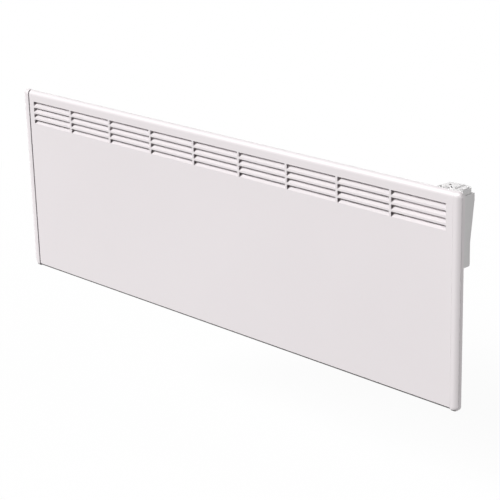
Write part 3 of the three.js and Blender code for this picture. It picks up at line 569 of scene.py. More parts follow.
# Rows and columns of one shape, cut out of a sheet, with a second shape pressed in at each place
def makeLouvreTree():
    size = newTree("louvreGrid", {
        "Slot": "NodeSocketObject", "Tab": "NodeSocketObject", "Sections": 9, "Rows": 4,
        "Section Pitch": 0.126, "Row Pitch": 0.0131, "First": (0.0, 0.0, 0.0)})
    start = size["Geometry"]
    across = lineOf(size["Sections"], start.make("ShaderNodeCombineXYZ", {"X": size["Section Pitch"]}))
    down = lineOf(size["Rows"], start.make("ShaderNodeCombineXYZ", {"Z": 0 - size["Row Pitch"]}))
    grid = realised(start.make("GeometryNodeInstanceOnPoints", {"Points": across, "Instance": down}))
    seated = start.make("GeometryNodeSetPosition", {"Geometry": grid, "Offset": size["First"]})
    pierced = cutOut(start, copiesAt(seated, size["Slot"]))
    return closeTree(joinedTo(pierced, copiesAt(seated, size["Tab"])), size)


# One shape cut out of a wall again and again along a line
def makeSlotTree():
    size = newTree("slotLine", {
        "Slot": "NodeSocketObject", "Count": 5, "Step": (0.005, 0.0, 0.0), "First": (0.0, 0.0, 0.0)})
    line = lineOf(size["Count"], size["Step"], size["First"])
    return closeTree(cutOut(size["Geometry"], copiesAt(line, size["Slot"])), size)


# One shape set down at every point of a cloud, each turned about its own axis by a seeded amount
def makeFixingTree():
    size = newTree("fixings", {"Fixing": "NodeSocketObject", "Axis": (0.0, 1.0, 0.0), "Seed": 4})
    start = size["Geometry"]
    spin = start.make("FunctionNodeRandomValue", {"Max": 2 * pi, "Seed": size["Seed"]}, 1, data_type="FLOAT")
    turn = start.make("FunctionNodeAxisAngleToRotation", {"Axis": size["Axis"], "Angle": spin})
    return closeTree(copiesAt(start, size["Fixing"], turn), size)


# One shape repeated round the Z axis, joined to what it stands on or cut out of it
def makeRingTree(name, combined):
    size = newTree(name, {
        "Rib": "NodeSocketObject", "Count": 24, "First Angle": 0.0, "Sweep": 2 * pi,
        "Centre": (0.0, 0.0, 0.0)})
    start = size["Geometry"]
    points = start.make("GeometryNodePoints", {"Count": size["Count"], "Position": size["Centre"]})
    place = start.make("GeometryNodeInputIndex")
    turn = size["First Angle"] + (size["Sweep"] * place) / size["Count"]
    angle = start.make("FunctionNodeAxisAngleToRotation", {"Axis": (0, 0, 1), "Angle": turn})
    return closeTree(combined(start, copiesAt(points, size["Rib"], angle)), size)


louvreTree = makeLouvreTree()
slotTree = makeSlotTree()
fixingTree = makeFixingTree()
ribTree = makeRingTree("ringOfRibs", joinedTo)
grooveTree = makeRingTree("ringOfGrooves", cutOut)
print("geometry trees made")


# Cuts a tool out of a piece again and again along X
def cutRow(piece, finish, tool, count, pitch, first):
    runTree(piece, slotTree, finish, {
        "Slot": tool, "Count": count, "Step": metres((pitch, 0, 0)), "First": metres((first, 0, 0))})


def bores(radius, places, low, high, steps):
    return [rod("bore", radius, "Y", (x, 0, z), low, high, steps=steps) for x, z in places]


# Places that several pieces share: the screws as x and z, the wires' way into the box, controls and gland
sides = (("left", -1), ("right", 1))
trayScrews = [(x, z) for x in (-450, 0, 450) for z in (-190, 190)]
trimScrews = [(x, z) for x in (-587, 587) for z in (-150, 150)]
boxScrews = [(488.5, 105), (553.5, 51.8)]
screwBore = 2.05
wireWay = {"place": (0, -57, 125), "radius": 5.25}
dialPlace = (563.5, -47.0, 0)
switchPlace = (540.5, -63.0)
lensPlace = (540.5, -42.0, 0)
glandPlace = (566.0, -54.0, 0)

# Front sheet and end trims: a shallow tray with rolled edges and a lip turned in behind its rim
sheetSpec = {"width": 1195, "bottom": -199.4, "top": 199.4, "face": -83.7, "rim": -74, "wall": 0.8, "lip": 14,
             "corner": 10, "roll": 8, "crown": 1.25, "endRoll": (8, 8, 45), "foot": 0.9, "ledge": 4.0,
             "hem": 4.2, "span": (-578.9, 579.4)}
trimSpec = {**sheetSpec, "bottom": -200, "top": 200, "face": -85, "wall": 1.6, "lip": 15,
            "endRoll": (21, 1.8, 31), "foot": 2.4, "ledge": 3.4, "hem": 2.2, "span": (580.65, 600),
            "edge": 0.5}
trayBox = ((-90, -70), (-205, 205))  # takes in the whole depth and height of a tray
trayBore = (-78, -70)


# How far a rolled edge has drawn in, some way behind the face: a wide radius up to an angle, then a tight one
def rolledIn(depth, wide, tight, share):
    low, high = cos(radians(share)), sin(radians(share))
    turned = wide * (1 - low)
    if depth < turned:
        slant = min(1.0, max(0.0, 1 - depth / wide))
        return wide * high + tight * (1 - high) - wide * sqrt(1 - slant * slant)
    slant = max(0.0, low - (depth - turned) / tight)
    return tight * (1 - sqrt(1 - slant * slant))


# The lower edge folds back over a ledge, then drops to a hem that stands in the ledge's shade
def drawnUp(depth, spec):
    if depth >= spec["ledge"]:
        return 0.0
    left = max(0.0, 1 - depth / spec["foot"])
    return spec["hem"] + spec["foot"] * (1 - sqrt(1 - left * left))


# A tray's rings run back over its outside and forward again inside; a box then keeps the stretch wanted
def trayShell(name, spec, span, steps=16):
    half = spec["width"] / 2
    wide, tight, share = spec["endRoll"]

    def ring(wall, inset, depth):
        into, roll = depth - wall, spec["roll"] - wall
        side = inset + rolledIn(into, wide - wall, max(tight - wall, 0.3), share)
        above = inset + spec["crown"] * rolledIn(into, roll, roll, 45)
        below = inset + drawnUp(into, spec)
        box = rectangle(-half + side, half - side, spec["bottom"] + below, spec["top"] - above)
        low, high = max(spec["corner"] - below, 0.4), max(spec["corner"] - above, 0.4)
        return [(u, spec["face"] + depth, v) for u, v in rounded(box, [low, low, high, high], 12)]

    def skin(wall, edge):
        reach, fold = spec["roll"] - wall, wall + spec["ledge"]
        depths = sorted([wall + reach * (1 - c) for c, s in quarter(steps)] + [fold - 0.02, fold + 0.02])
        return [ring(wall, inset, depth) for inset, depth in [(wall, depth) for depth in depths] + edge]

    rim, wall, lip = spec["rim"] - spec["face"], spec["wall"], spec["lip"]
    outside = skin(0, [(0, rim - 0.5), (0.15, rim - 0.15), (0.5, rim), (lip, rim)])
    inside = skin(wall, [(wall, rim - wall), (lip, rim - wall)])
    shell = loft(name, outside + inside[::-1])
    return carve(shell, [slab("stretch", span, *trayBox)], "INTERSECT")


louvre = {"sections": 9, "rows": 4, "sectionPitch": 126.0, "rowPitch": 13.1, "bar": 4.8, "height": 9.4,
          "first": (-564.6, 0, 167.2), "corner": 0.9, "cut": (-90, -80), "gap": 0.25, "tabLength": 9.2,
          "tabAngle": 38, "bend": 1.3, "root": 0.6, "rootDrop": 1.9}


# One louvre's side view: a lower lip in the sheet's plane, a bend, and the tab sloping up behind the slot
def tabSection(spec, face, wall):
    middle = face + wall / 2
    slope = radians(spec["tabAngle"])
    turn = pi / 2 - slope
    radius = spec["bend"]
    foot = -spec["rootDrop"]
    knee = foot + spec["root"]
    line = [(middle, foot)] + arc((middle + radius, knee), radius, pi, pi - turn, 8)
    reach = spec["tabLength"] - radius
    y, z = line[-1]
    line.append((y + reach * cos(slope), z + reach * sin(slope)))
    upper, lower = [], []
    for k, (y, z) in enumerate(line):
        y0, z0 = line[max(k - 1, 0)]
        y1, z1 = line[min(k + 1, len(line) - 1)]
        size = sqrt((y1 - y0) ** 2 + (z1 - z0) ** 2)
        ny, nz = -(z1 - z0) / size * wall / 2, (y1 - y0) / size * wall / 2
        upper.append((y + ny, z + nz))
        lower.append((y - ny, z - nz))
    return upper + lower[::-1]


def buildFrontSheet():
    spec = sheetSpec
    shell = trayShell("frontSheet", spec, spec["span"])
    carve(shell, bores(screwBore, trayScrews, *trayBore, 20))
    width, gap = louvre["sectionPitch"] - louvre["bar"], louvre["gap"]
    opening = rounded(rectangle(0, width, 0, louvre["height"]), louvre["corner"], 4)
    runTree(shell, louvreTree, paint, {
        "Slot": prism("slot", opening, "Y", *louvre["cut"]),
        "Tab": prism("tab", tabSection(louvre, spec["face"], spec["wall"]), "X", gap, width - gap),
        "Sections": louvre["sections"], "Rows": louvre["rows"], "Section Pitch": louvre["sectionPitch"] * mm,
        "Row Pitch": louvre["rowPitch"] * mm, "First": metres(louvre["first"])})
    complete(shell, "louvredFront", paint, "front_panel")


def buildTrims():
    for side, sign in sides:
        trim = trayShell("trim", trimSpec, sorted(sign * x for x in trimSpec["span"]))
        carve(trim, bores(screwBore, [(x, z) for x, z in trimScrews if x * sign > 0], *trayBore, 20))
        softenEdges(trim, trimSpec["edge"], 3, 50)
        complete(trim, "endTrim" + side.title(), trimPaint, "end_trim_" + side)


buildFrontSheet()
buildTrims()
print("front made")

# Rear casing: a pan with a step for the control box, on a flange that closes the tray; air inlets along its
# bottom, and beads pressed out of its back, each given by its ends and its height
casing = {"wall": 0.8, "flange": (1183, 391, 6), "front": -73.7, "back": -35, "side": 560, "low": -184,
          "top": 172, "step": 466, "floor": 40.3, "corner": 5, "fold": 2.2, "screwCut": (-76, -70),
          "wireCut": (460, 470),
          "inlets": {"count": 9, "first": -523, "width": 1060, "bar": 14, "y": (-65, -43), "z": (-187, -181),
                     "corner": 6},
          "beads": [(-530, -390, 110), (-310, 310, 110), (390, 440, 110), (-530, -390, -20),
                    (-310, 310, -20), (390, 530, -20), (-310, 310, -120)],
          "bead": {"half": 8, "corner": 7.8, "section": [(0, -0.4), (0, 0.1), (0.9, 1.6), (2.0, 2.3)],
                   "inside": 2.4, "hollow": (-1.2, 1.5)}}


def panSolid(name, inset, front):
    spec = casing
    back = spec["back"] - inset
    fold = max(spec["fold"] - inset, 0.4)

    def ring(more, y):
        d = inset + more
        side, step, low = spec["side"] - d, spec["step"] - d, spec["low"] + d
        floor, top = spec["floor"] - d, spec["top"] - d
        corners = [(-side, low), (side, low), (side, floor), (step, floor), (step, top), (-side, top)]
        tight = max(spec["corner"] - d, 0.5)
        inner = spec["corner"] + d
        return [(u, y, v) for u, v in rounded(corners, [tight, tight, tight, inner, tight, tight], 8)]

    bend = [ring(fold * (1 - c), back - fold + fold * s) for c, s in quarter(6)]
    return loft(name, [ring(0, front)] + bend)


# A bead's section says how far in and how far out it stands
def pressBead(pan, x0, x1, z):
    back, spec = casing["back"], casing["bead"]
    half = spec["half"]

    def oval(inset):
        box = rectangle(x0 + inset, x1 - inset, z - half + inset, z + half - inset)
        return rounded(box, spec["corner"] - inset, 8)

    rings = [[(u, back + out, v) for u, v in oval(inset)] for inset, out in spec["section"]]
    fuse(pan, [loft("bead", rings)])
    carve(pan, [prism("under", oval(spec["inside"]), "Y", *[back + out for out in spec["hollow"]])])


def buildCasing():
    front, wall = casing["front"], casing["wall"]
    width, height, corner = casing["flange"]
    outline = rounded(rectangle(*around(0, width), *around(0, height)), corner, 8)
    pan = prism("casing", outline, "Y", front, front + wall)
    fuse(pan, [panSolid("pan", 0, front + 0.1)])
    carve(pan, [panSolid("hollow", wall, front - 2)])
    carve(pan, bores(screwBore, trayScrews + trimScrews + boxScrews, *casing["screwCut"], 20))
    carve(pan, [rod("wireHole", wireWay["radius"], "X", wireWay["place"], *casing["wireCut"])])
    inlets = casing["inlets"]
    pitch = inlets["width"] / inlets["count"]
    outline = rounded(rectangle(0, pitch - inlets["bar"], *inlets["y"]), inlets["corner"], 8)
    cutRow(pan, paint, prism("inlet", outline, "Z", *inlets["z"]), inlets["count"], pitch, inlets["first"])
    for place in casing["beads"]:
        pressBead(pan, *place)
    complete(pan, "casingPan", paint, "rear_casing")


buildCasing()
print("casing made")

# Control box: a moulded shell with a sloped back, a lower wing towards the casing and two screw ears
boxSpec = {"left": 527.5, "right": 582.5, "bottom": 56.8, "top": 186.5, "front": -72.6, "backLow": -38.4,
           "backHigh": -28.4, "slopeLow": 100.7, "slopeHigh": 172.7, "wall": 2.0, "edge": 1.4,
           "backCorners": [0.3, 2.4, 16, 8, 1.6, 0.3], "glandBore": 6.85,
           "screwCut": (-74, -69), "mouth": ((531, 579), (-72.3, -31.9), (183.5, 187.5)),
           "wing": {"left": 472.5, "bottom": 110.0, "top": 188.5, "back": -44.0, "corners": [0.3, 2, 2, 0.3]},
           "ear": {"wide": 16, "drop": 5, "height": 14, "corners": [5, 5, 0.3, 0.3], "thick": 2.0},
           "vent": {"count": 5, "pitch": 5.5, "width": 2.4, "inset": 4, "y": (-68.6, -54.6), "corner": 1.1}}


def boxSideView(spec, inset, front):
    low, high = spec["backLow"] - inset, spec["backHigh"] - inset
    bottom, top = spec["bottom"] + inset, spec["top"] - inset
    corners = [(front, bottom), (low, bottom), (low, spec["slopeLow"]), (high, spec["slopeHigh"]),
               (high, top), (front, top)]
    return rounded(corners, spec["backCorners"], 8)


def buildControlBox():
    spec = boxSpec
    wing, ear, vent = spec["wing"], spec["ear"], spec["vent"]
    left, right, front, wall, top = spec["left"], spec["right"], spec["front"], spec["wall"], spec["top"]
    body = prism("controlBox", boxSideView(spec, 0, front), "X", left, right)
    softenEdges(body, spec["edge"], 4, 50)
    outline = rounded(rectangle(front, wing["back"], wing["bottom"], wing["top"]), wing["corners"])
    side = softenEdges(prism("wing", outline, "X", wing["left"], left), spec["edge"], 4, 50)
    bridge = slab("bridge", (left - 20, left + 1), (front, wing["back"]), (wing["bottom"], top - 1))
    ears = []
    for x, z in boxScrews:
        low = z - ear["drop"]
        lug = rounded(rectangle(*around(x, ear["wide"]), low, low + ear["height"]), ear["corners"])
        ears.append(prism("ear", lug, "Y", front, front + ear["thick"]))
    fuse(body, [side, bridge] + ears)
    depths = (front - 1, wing["back"] - wall)
    heights = (wing["bottom"] + wall, wing["top"] - wall)
    floor = (spec["bottom"] - 1, spec["bottom"] + wall + 1)
    x, y, z = spec["mouth"]
    carve(body, [
        prism("hollow", boxSideView(spec, wall, front - 1), "X", left + wall, right - wall),
        slab("wingHollow", (wing["left"] + wall, left - wall), depths, heights),
        slab("passage", (left - wall - 1, left + wall + 1), depths, (heights[0], top - 2 * wall)),
        prism("mouth", rounded(rectangle(*x, *y), 3), "Z", *z),
        rod("glandHole", spec["glandBore"], "Z", glandPlace, *floor),
        rod("wireHole", wireWay["radius"], "X", wireWay["place"], wing["left"] - 1, wing["left"] + wall + 1),
        *bores(screwBore, boxScrews, *spec["screwCut"], 24)])
    slit = prism("vent", rounded(rectangle(0, vent["width"], *vent["y"]), vent["corner"], 6), "Z", *floor)
    cutRow(body, whitePlastic, slit, vent["count"], vent["pitch"], left + wall + vent["inset"])
    complete(body, "controlBoxShell", whitePlastic, "control_box")


lidSpec = {"x": (527.8, 581.0), "y": (-72.3, -26.5), "top": 196.0, "bottom": 186.9, "skirt": 186.7,
           "edge": (2.6, 2.6), "corners": (5, 5, 14, 5), "wall": 2.0, "well": 16.5, "wellFloor": 189.6,
           "wellUnder": 188.1, "bush": 4.85, "bushCut": (187, 192), "switch": (17, 13), "cut": (185.5, 197),
           "lens": 2.3, "lensFloor": 193, "skirtWall": (2.4, 4.4)}


# The lid, with a well for the dial, an opening for the switch and a small hole for the lens
def buildLid():
    spec = lidSpec
    top, bottom, skirt, well = spec["top"], spec["bottom"], spec["skirt"], spec["well"]

    def ring(inset, z):
        (x0, x1), (y0, y1) = spec["x"], spec["y"]
        box = rectangle(x0 + inset, x1 - inset, y0 + inset, y1 - inset)
        return [(u, v, z) for u, v in rounded(box, [max(r - inset, 0.4) for r in spec["corners"]], 10)]

    reach, drop = spec["edge"]
    crown = [ring(reach * (1 - c), top - drop + drop * s) for c, s in quarter(12)]
    outer, inner = spec["skirtWall"]
    underside = [ring(inner, top - spec["wall"]), ring(inner, skirt), ring(outer, skirt), ring(outer, bottom),
                 ring(0.3, bottom), ring(0, bottom + 0.3)]
    lid = loft("lid", underside + crown)
    outside = loft("outside", [ring(0.1, bottom), ring(0.1, bottom + 0.3)] + crown)
    boss = rod("well", well + 1.5, "Z", dialPlace, spec["wellUnder"], top - 0.5, steps=96)
    fuse(lid, [carve(boss, [outside], "INTERSECT")])
    flare = [(0, spec["wellFloor"]), (well, spec["wellFloor"]), (well, top - 0.7), (well + 0.2, top - 0.25),
             (well + 0.7, top), (well + 0.7, top + 1), (0, top + 1)]
    (x, y), (width, height) = switchPlace, spec["switch"]
    hole, floor, above = spec["lens"], spec["lensFloor"], spec["cut"][1]
    rim = [(0, floor), (hole, floor), (hole, top - 0.4), (hole + 0.4, top), (hole + 0.4, above), (0, above)]
    carve(lid, [
        lathe("wellBore", flare, "Z", dialPlace, 96),
        rod("bush", spec["bush"], "Z", dialPlace, *spec["bushCut"]),
        prism("switchHole", rectangle(*around(x, width), *around(y, height)), "Z", *spec["cut"]),
        lathe("lensHole", rim, "Z", lensPlace, 32)])
    complete(lid, "boxLid", whitePlastic, "control_lid")


buildControlBox()
buildLid()
print("control box made")

# Dial: a knurled knob in the lid's well, with a grip across it, printed numbers and a stem
dialSpec = {"radius": 16.0, "bottom": 189.9, "rim": 197.2, "edge": 1.2, "dish": 0.25, "ledge": (1.9, 2.3),
            "bore": (3.3, 188, 194.2), "grip": (4.6, 29.0, 1.5), "gripEdge": 1.0, "grooves": 72,
            "groove": 0.32}
dialPrint = {"radius": 12.4, "size": 3.4, "numbers": {"1": 165, "2": 122, "3": 58, "4": 15, "5": -28},
             "thick": 0.12, "band": (186, 258, 24), "bandRadius": 13.9, "bandWidth": 0.5, "bandSwell": 2.6,
             "line": (0.7, -13.2, -5.5, 0.3)}
stemSpec = {"radius": 3, "low": 175.8, "high": 193.9}


def printed(text, size, place, turn):
    letters = bpy.data.curves.new("letters", "FONT")
    letters.body = text
    letters.size = size
    letters.extrude = dialPrint["thick"] / 2
    letters.align_x = "CENTER"
    letters.align_y = "CENTER"
    letters.resolution_u = 4
    holder = linked("letters", letters)
    mesh = bpy.data.meshes.new_from_object(holder)
    bpy.data.objects.remove(holder)
    mesh.transform(Matrix.Scale(mm, 4) @ Matrix.Translation(place) @ Matrix.Rotation(turn, 4, "Z"))
    remake(mesh, merge=1e-7, outward=True)
    return linked("print", mesh)


def buildDial():
    spec = dialSpec
    x, y = dialPlace[:2]
    radius, bottom, rim, edge = spec["radius"], spec["bottom"], spec["rim"], spec["edge"]
    dish = rim - spec["dish"]
    near, far = spec["ledge"]
    profile = [(0, bottom), (radius - 1, bottom), (radius, bottom + 1)]
    profile += [(radius - edge + edge * c, rim - edge + edge * s) for c, s in quarter(6)]
    profile += [(radius - near, rim), (radius - far, dish), (0, dish)]
    knob = lathe("knob", profile, "Z", dialPlace, 144)
    width, length, height = spec["grip"]
    soft = spec["gripEdge"]

    def bar(inset, z):
        box = rectangle(*around(x, width - 2 * inset), *around(y, length - 2 * inset))
        return [(u, v, z) for u, v in rounded(box, width / 2 - inset - 0.05, 10)]

    grip = [bar(0, rim - 1)] + [bar(soft * (1 - c), rim + height - soft + soft * s) for c, s in quarter(6)]
    fuse(knob, [loft("grip", grip)])
    bore, low, high = spec["bore"]
    carve(knob, [rod("bore", bore, "Z", dialPlace, low, high)])
    groove = rod("groove", spec["groove"], "Z", (radius + 0.1, 0, 0), bottom + 2, rim + 0.5, steps=8)
    runTree(knob, grooveTree, whitePlastic, {
        "Rib": groove, "Count": spec["grooves"], "Centre": metres(dialPlace)})
    complete(knob, "dialKnob", whitePlastic, "thermostat_dial", body="dial")


# The dial's numbers, the band that grows round it and the line on its grip, and the stem that it turns
def buildDialPrint():
    spec = dialPrint
    x, y = dialPlace[:2]
    rim = dialSpec["rim"]
    level = rim - dialSpec["dish"] + 0.03
    marks = []
    for text, angle in spec["numbers"].items():
        a = radians(angle)
        place = (x + spec["radius"] * cos(a), y + spec["radius"] * sin(a), level)
        marks.append(printed(text, spec["size"], place, a - pi / 2))
    start, end, steps = spec["band"]
    outer, inner = [], []
    for k in range(steps + 1):
        a = radians(start + (end - start) * k / steps)
        outside = spec["bandRadius"]
        inside = outside - spec["bandWidth"] - spec["bandSwell"] * k / steps
        outer.append((x + outside * cos(a), y + outside * sin(a)))
        inner.append((x + inside * cos(a), y + inside * sin(a)))
    marks.append(prism("band", outer + inner[::-1], "Z", *around(level, spec["thick"])))
    width, low, high, corner = spec["line"]
    top = rim + dialSpec["grip"][2]
    line = rounded(rectangle(*around(x, width), y + low, y + high), corner, 4)
    marks.append(prism("line", line, "Z", top - 0.05, top + 0.06))
    complete(gather("dialNumbers", marks), "dialNumbers", ink, body="dial")
    radius, low, high = stemSpec["radius"], stemSpec["low"], stemSpec["high"]
    stem = [(0, low), (radius - 0.4, low), (radius, low + 0.4), (radius, high - 0.5), (radius - 0.4, high),
            (0, high)]
    complete(lathe("stem", stem, "Z", dialPlace, 48), "dialStem", zincPlate, "dial_spindle", body="dial")


# Rocker switch: a white bezel on the lid, the case below it with its blades, and the rocker with two marks
switchSpec = {"bezel": (19.4, 15.0), "bezelCorner": 1.8, "seat": 196.3, "bezelHeight": 1.0,
              "slot": (13.8, 9.8), "collar": 189.0, "case": (16.4, 12.4), "caseLow": 176.0, "well": 185.0,
              "blades": (-5, 0, 5), "blade": (0.8, 4.8, 7.5)}
rockerSpec = {"view": [(-6.2, 2.4), (-5.2, -4), (5.2, -4), (6.2, 2.4), (0, 1.6)],
              "corners": [0.5, 0.6, 0.6, 0.5, 6], "width": 9.0, "edge": 0.35, "axis": 194.5, "tilt": 12,
              "markPlace": 3.3, "mark": (-0.06, 0.08), "bar": (0.5, 3.0, 0.2), "ring": (1.05, 1.5)}


def buildSwitch():
    spec = switchSpec
    x, y = switchPlace
    seat, top, low = spec["seat"], spec["seat"] + spec["bezelHeight"], spec["caseLow"]

    def ring(inset, z):
        width, length = spec["bezel"]
        box = rectangle(*around(x, width - 2 * inset), *around(y, length - 2 * inset))
        return [(u, v, z) for u, v in rounded(box, spec["bezelCorner"] - inset, 6)]

    def opening(name, more, low, high):
        width, length = spec["slot"]
        box = rectangle(*around(x, width + more), *around(y, length + more))
        return prism(name, rounded(box, 0.6, 4), "Z", low, high)

    bezel = loft("bezel", [ring(0, seat), ring(0, top - 0.6), ring(0.18, top - 0.18), ring(0.6, top)])
    fuse(bezel, [opening("collar", 0.6, spec["collar"], seat + 0.3)])
    carve(bezel, [opening("slot", 0, spec["collar"] - 1, top + 1)])
    softenEdges(bezel, 0.12, 2, 60)
    complete(bezel, "switchBezel", whitePlastic, "switch_body")

    width, length = spec["case"]
    case = slab("case", around(x, width), around(y, length), (low, seat), 0.5)
    carve(case, [opening("slot", 0.7, spec["well"], top + 1)])
    complete(case, "switchCase", blackPlastic, "switch_body")
    thick, wide, long = spec["blade"]
    blades = [slab("blade", around(x + u, thick), around(y, wide), (low - long, low + 1), 0.2)
              for u in spec["blades"]]
    complete(gather("blades", blades), "switchBlades", zincPlate)


def buildRocker():
    spec = rockerSpec
    half = spec["width"] / 2
    rocker = prism("rocker", rounded(spec["view"], spec["corners"], 8), "Y", -half, half)
    softenEdges(rocker, spec["edge"], 3, 50)
    end, middle = spec["view"][3], spec["view"][4]
    run, rise = end[0], end[1] - middle[1]
    lean = Matrix.Rotation(atan2(rise, run), 4, "Y")
    out, up = spec["markPlace"], middle[1] + spec["markPlace"] * rise / run
    width, length, corner = spec["bar"]
    bar = rounded(rectangle(*around(0, width), *around(0, length)), corner, 4)
    near, far = spec["ring"]
    low, high = spec["mark"]
    loop = [(near, low), (far, low), (far, high), (near, high)]
    right, left = [Matrix.Translation(metres((x, 0, up))) for x in (out, -out)]
    marks = [moved(prism("on", bar, "Z", low, high), right @ lean.inverted()),
             moved(lathe("off", loop, "Z", (0, 0, 0), 32), left @ lean)]
    turned = (Matrix.Translation(metres((*switchPlace, spec["axis"])))
              @ Matrix.Rotation(-radians(spec["tilt"]), 4, "Y"))
    for piece in (rocker, *marks):
        moved(piece, turned)
    complete(rocker, "rockerKey", whitePlastic, "rocker_switch", body="rocker")
    complete(gather("marks", marks), "rockerMarks", ink, body="rocker")


lensSpec = {"radius": 2.0, "low": 189.9, "rim": 196.1, "dome": 0.8, "edge": 0.3}


def buildLens():
    radius, low, rim, dome, edge = lensSpec.values()
    profile = [(0, low), (radius - edge, low), (radius, low + edge), (radius, rim)]
    profile += [(radius * c, rim + dome * s) for c, s in quarter(8)[1:-1]] + [(0, rim + dome)]
    complete(lathe("lens", profile, "Z", lensPlace, 48), "indicatorLens", darkLens, "indicator_lens")


buildDial()
buildDialPrint()
buildSwitch()
buildRocker()
buildLens()
print("controls made")

# Screws and rivets: one shape each, set down on the points where they belong
screwSpec = {"shank": 1.7, "head": 3.5, "height": 2.2, "length": 3.4, "threads": 4, "pitch": 0.6, "rim": 0.8,
             "recess": (3.9, 0.85, 1.2), "seat": -72.6, "boxSeat": -70.3}
rivetSpec = {"shank": 2.0, "head": 3.4, "height": 1.2, "length": 3.3, "seat": -3.6, "x": (-350, 350),
             "z": (-10, 10)}


def makeScrew(spec):
    length, shank, head, height, rim = [spec[key] for key in ("length", "shank", "head", "height", "rim")]
    root = shank * 0.82
    profile = [(0, -length), (shank * 0.5, -length), (shank * 0.85, -length + 0.6)]
    for k in range(spec["threads"]):
        start = -length + 0.8 + spec["pitch"] * k
        profile += [(root, start), (shank, start + 0.3)]
    profile += [(root, 0), (head - 0.2, 0), (head, 0.2), (head, rim)]
    profile += [(head * c, rim + (height - rim) * s) for c, s in quarter(6)[1:-1]] + [(0, height)]
    screw = lathe("screw", profile, "Y", (0, 0, 0), 20)
    long, thin, deep = spec["recess"]
    depth = (height - deep, height + 1)
    return carve(screw, [slab("recess", around(0, x), depth, around(0, z))
                         for x, z in ((long, thin), (thin, long))])


def makeRivet(spec):
    shank, head, height, length = [spec[key] for key in ("shank", "head", "height", "length")]
    profile = [(0, -height)] + [(head * s, -height * c) for c, s in quarter(6)[1:]]
    profile += [(shank, 0), (shank, length), (0, length)]
    return lathe("rivet", profile, "Y", (0, 0, 0), 24)


def setDown(name, places, shape, seed, *nodes, body="heater"):
    cloud = toObject(name, places, [])
    runTree(cloud, fixingTree, zincPlate, {"Fixing": shape, "Seed": seed})
    complete(cloud, name, zincPlate, *nodes, body=body)


def buildFixings():
    places = [(x, screwSpec["seat"], z) for x, z in trayScrews + trimScrews]
    places += [(x, screwSpec["boxSeat"], z) for x, z in boxScrews]
    groups = (("tray", trayScrews), ("trim", trimScrews), ("box", boxScrews))
    nodes = [f"{kind}_screw_{k + 1}" for kind, screws in groups for k in range(len(screws))]
    setDown("panelScrews", places, makeScrew(screwSpec), 7, *nodes)
    places = [(x, rivetSpec["seat"], z) for x in rivetSpec["x"] for z in rivetSpec["z"]]
    nodes = [f"bracket_rivet_{side}_{k}" for side, sign in sides for k in (1, 2)]
    setDown("bracketRivets", places, makeRivet(rivetSpec), 3, *nodes, body="bracket")


buildFixings()
print("fixings set")

# Element: crossed fins on a sheathed rod, slotted for the air, with a spool and a stud at each end
elementSpec = {"y": -54.0, "z": -106.0, "half": 498.0, "fin": 48.0, "thickness": 1.6, "angle": 35,
               "core": 7.0, "sheath": 5.0, "out": 24.0, "slots": 19, "slotPitch": 50.0, "slot": (30.0, 4.5),
               "slotFrom": 13.5}
spoolSpec = {"x": 510, "profile": [(5.3, -5), (8.4, -5), (9, -4.4), (9, -0.9), (6.8, -0.9), (6.8, 0.9),
                                   (9, 0.9), (9, 4.4), (8.4, 5), (5.3, 5)]}
studSpec = {"x": (522.3, 532.3), "root": 1.5, "crest": 1.8, "threads": 16}


def buildElement():
    spec = elementSpec
    y, z, half = spec["y"], spec["z"], spec["half"]
    core = rod("element", spec["core"], "X", (0, y, z), -half, half, 0.4)
    length, height = spec["slot"]
    plates, cutters = [], []
    for sign in (-1, 1):
        turn = Matrix.Translation(metres((0, y, z))) @ Matrix.Rotation(sign * radians(spec["angle"]), 4, "X")
        side = rounded(rectangle(*around(0, spec["thickness"]), *around(0, spec["fin"])), 0.7, 6)
        plates.append(moved(prism("fin", side, "X", -half, half), turn))
        for end in (-1, 1):
            low, high = sorted((end * spec["slotFrom"], end * (spec["slotFrom"] + height)))
            slot = rounded(rectangle(*around(0, length), low, high), 2, 6)
            cutters.append(moved(prism("slot", slot, "Y", -3, 3), turn))
    end = half + spec["out"]
    fuse(core, plates + [rod("sheath", spec["sheath"], "X", (0, y, z), -end, end, 0.8)])
    pitch = spec["slotPitch"]
    cutRow(core, aluminium, gather("slots", cutters), spec["slots"], pitch, -(spec["slots"] - 1) / 2 * pitch)
    complete(core, "finnedElement", aluminium, "heating_element")


def buildElementEnds():
    y, z = elementSpec["y"], elementSpec["z"]
    root, crest, threads = studSpec["root"], studSpec["crest"], studSpec["threads"]
    for side, sign in sides:
        spool = lathe("spool", spoolSpec["profile"], "X", (sign * spoolSpec["x"], y, z), 48)
        complete(spool, "insulator" + side.title(), ceramic, "element_insulator_" + side)
        low, high = sorted(sign * x for x in studSpec["x"])
        pitch = (high - low) / threads
        thread = [(0, low), (root, low)]
        for k in range(threads):
            thread += [(crest, low + (k + 0.5) * pitch), (root, low + (k + 1) * pitch)]
        stud = lathe("stud", thread + [(0, high)], "X", (0, y, z), 24)
        complete(stud, "stud" + side.title(), zincPlate, "element_stud_" + side)


buildElement()
buildElementEnds()
print("element made")

# Gland under the box, its nut ribbed for the fingers
glandSpec = {"bore": 4.2, "neck": 6.5, "radius": 9.0, "top": 56.5, "length": 12.0, "flange": 2.5,
             "inside": 60.8, "nut": 1.1, "nutLow": 4, "ribs": 18, "rib": 0.55}


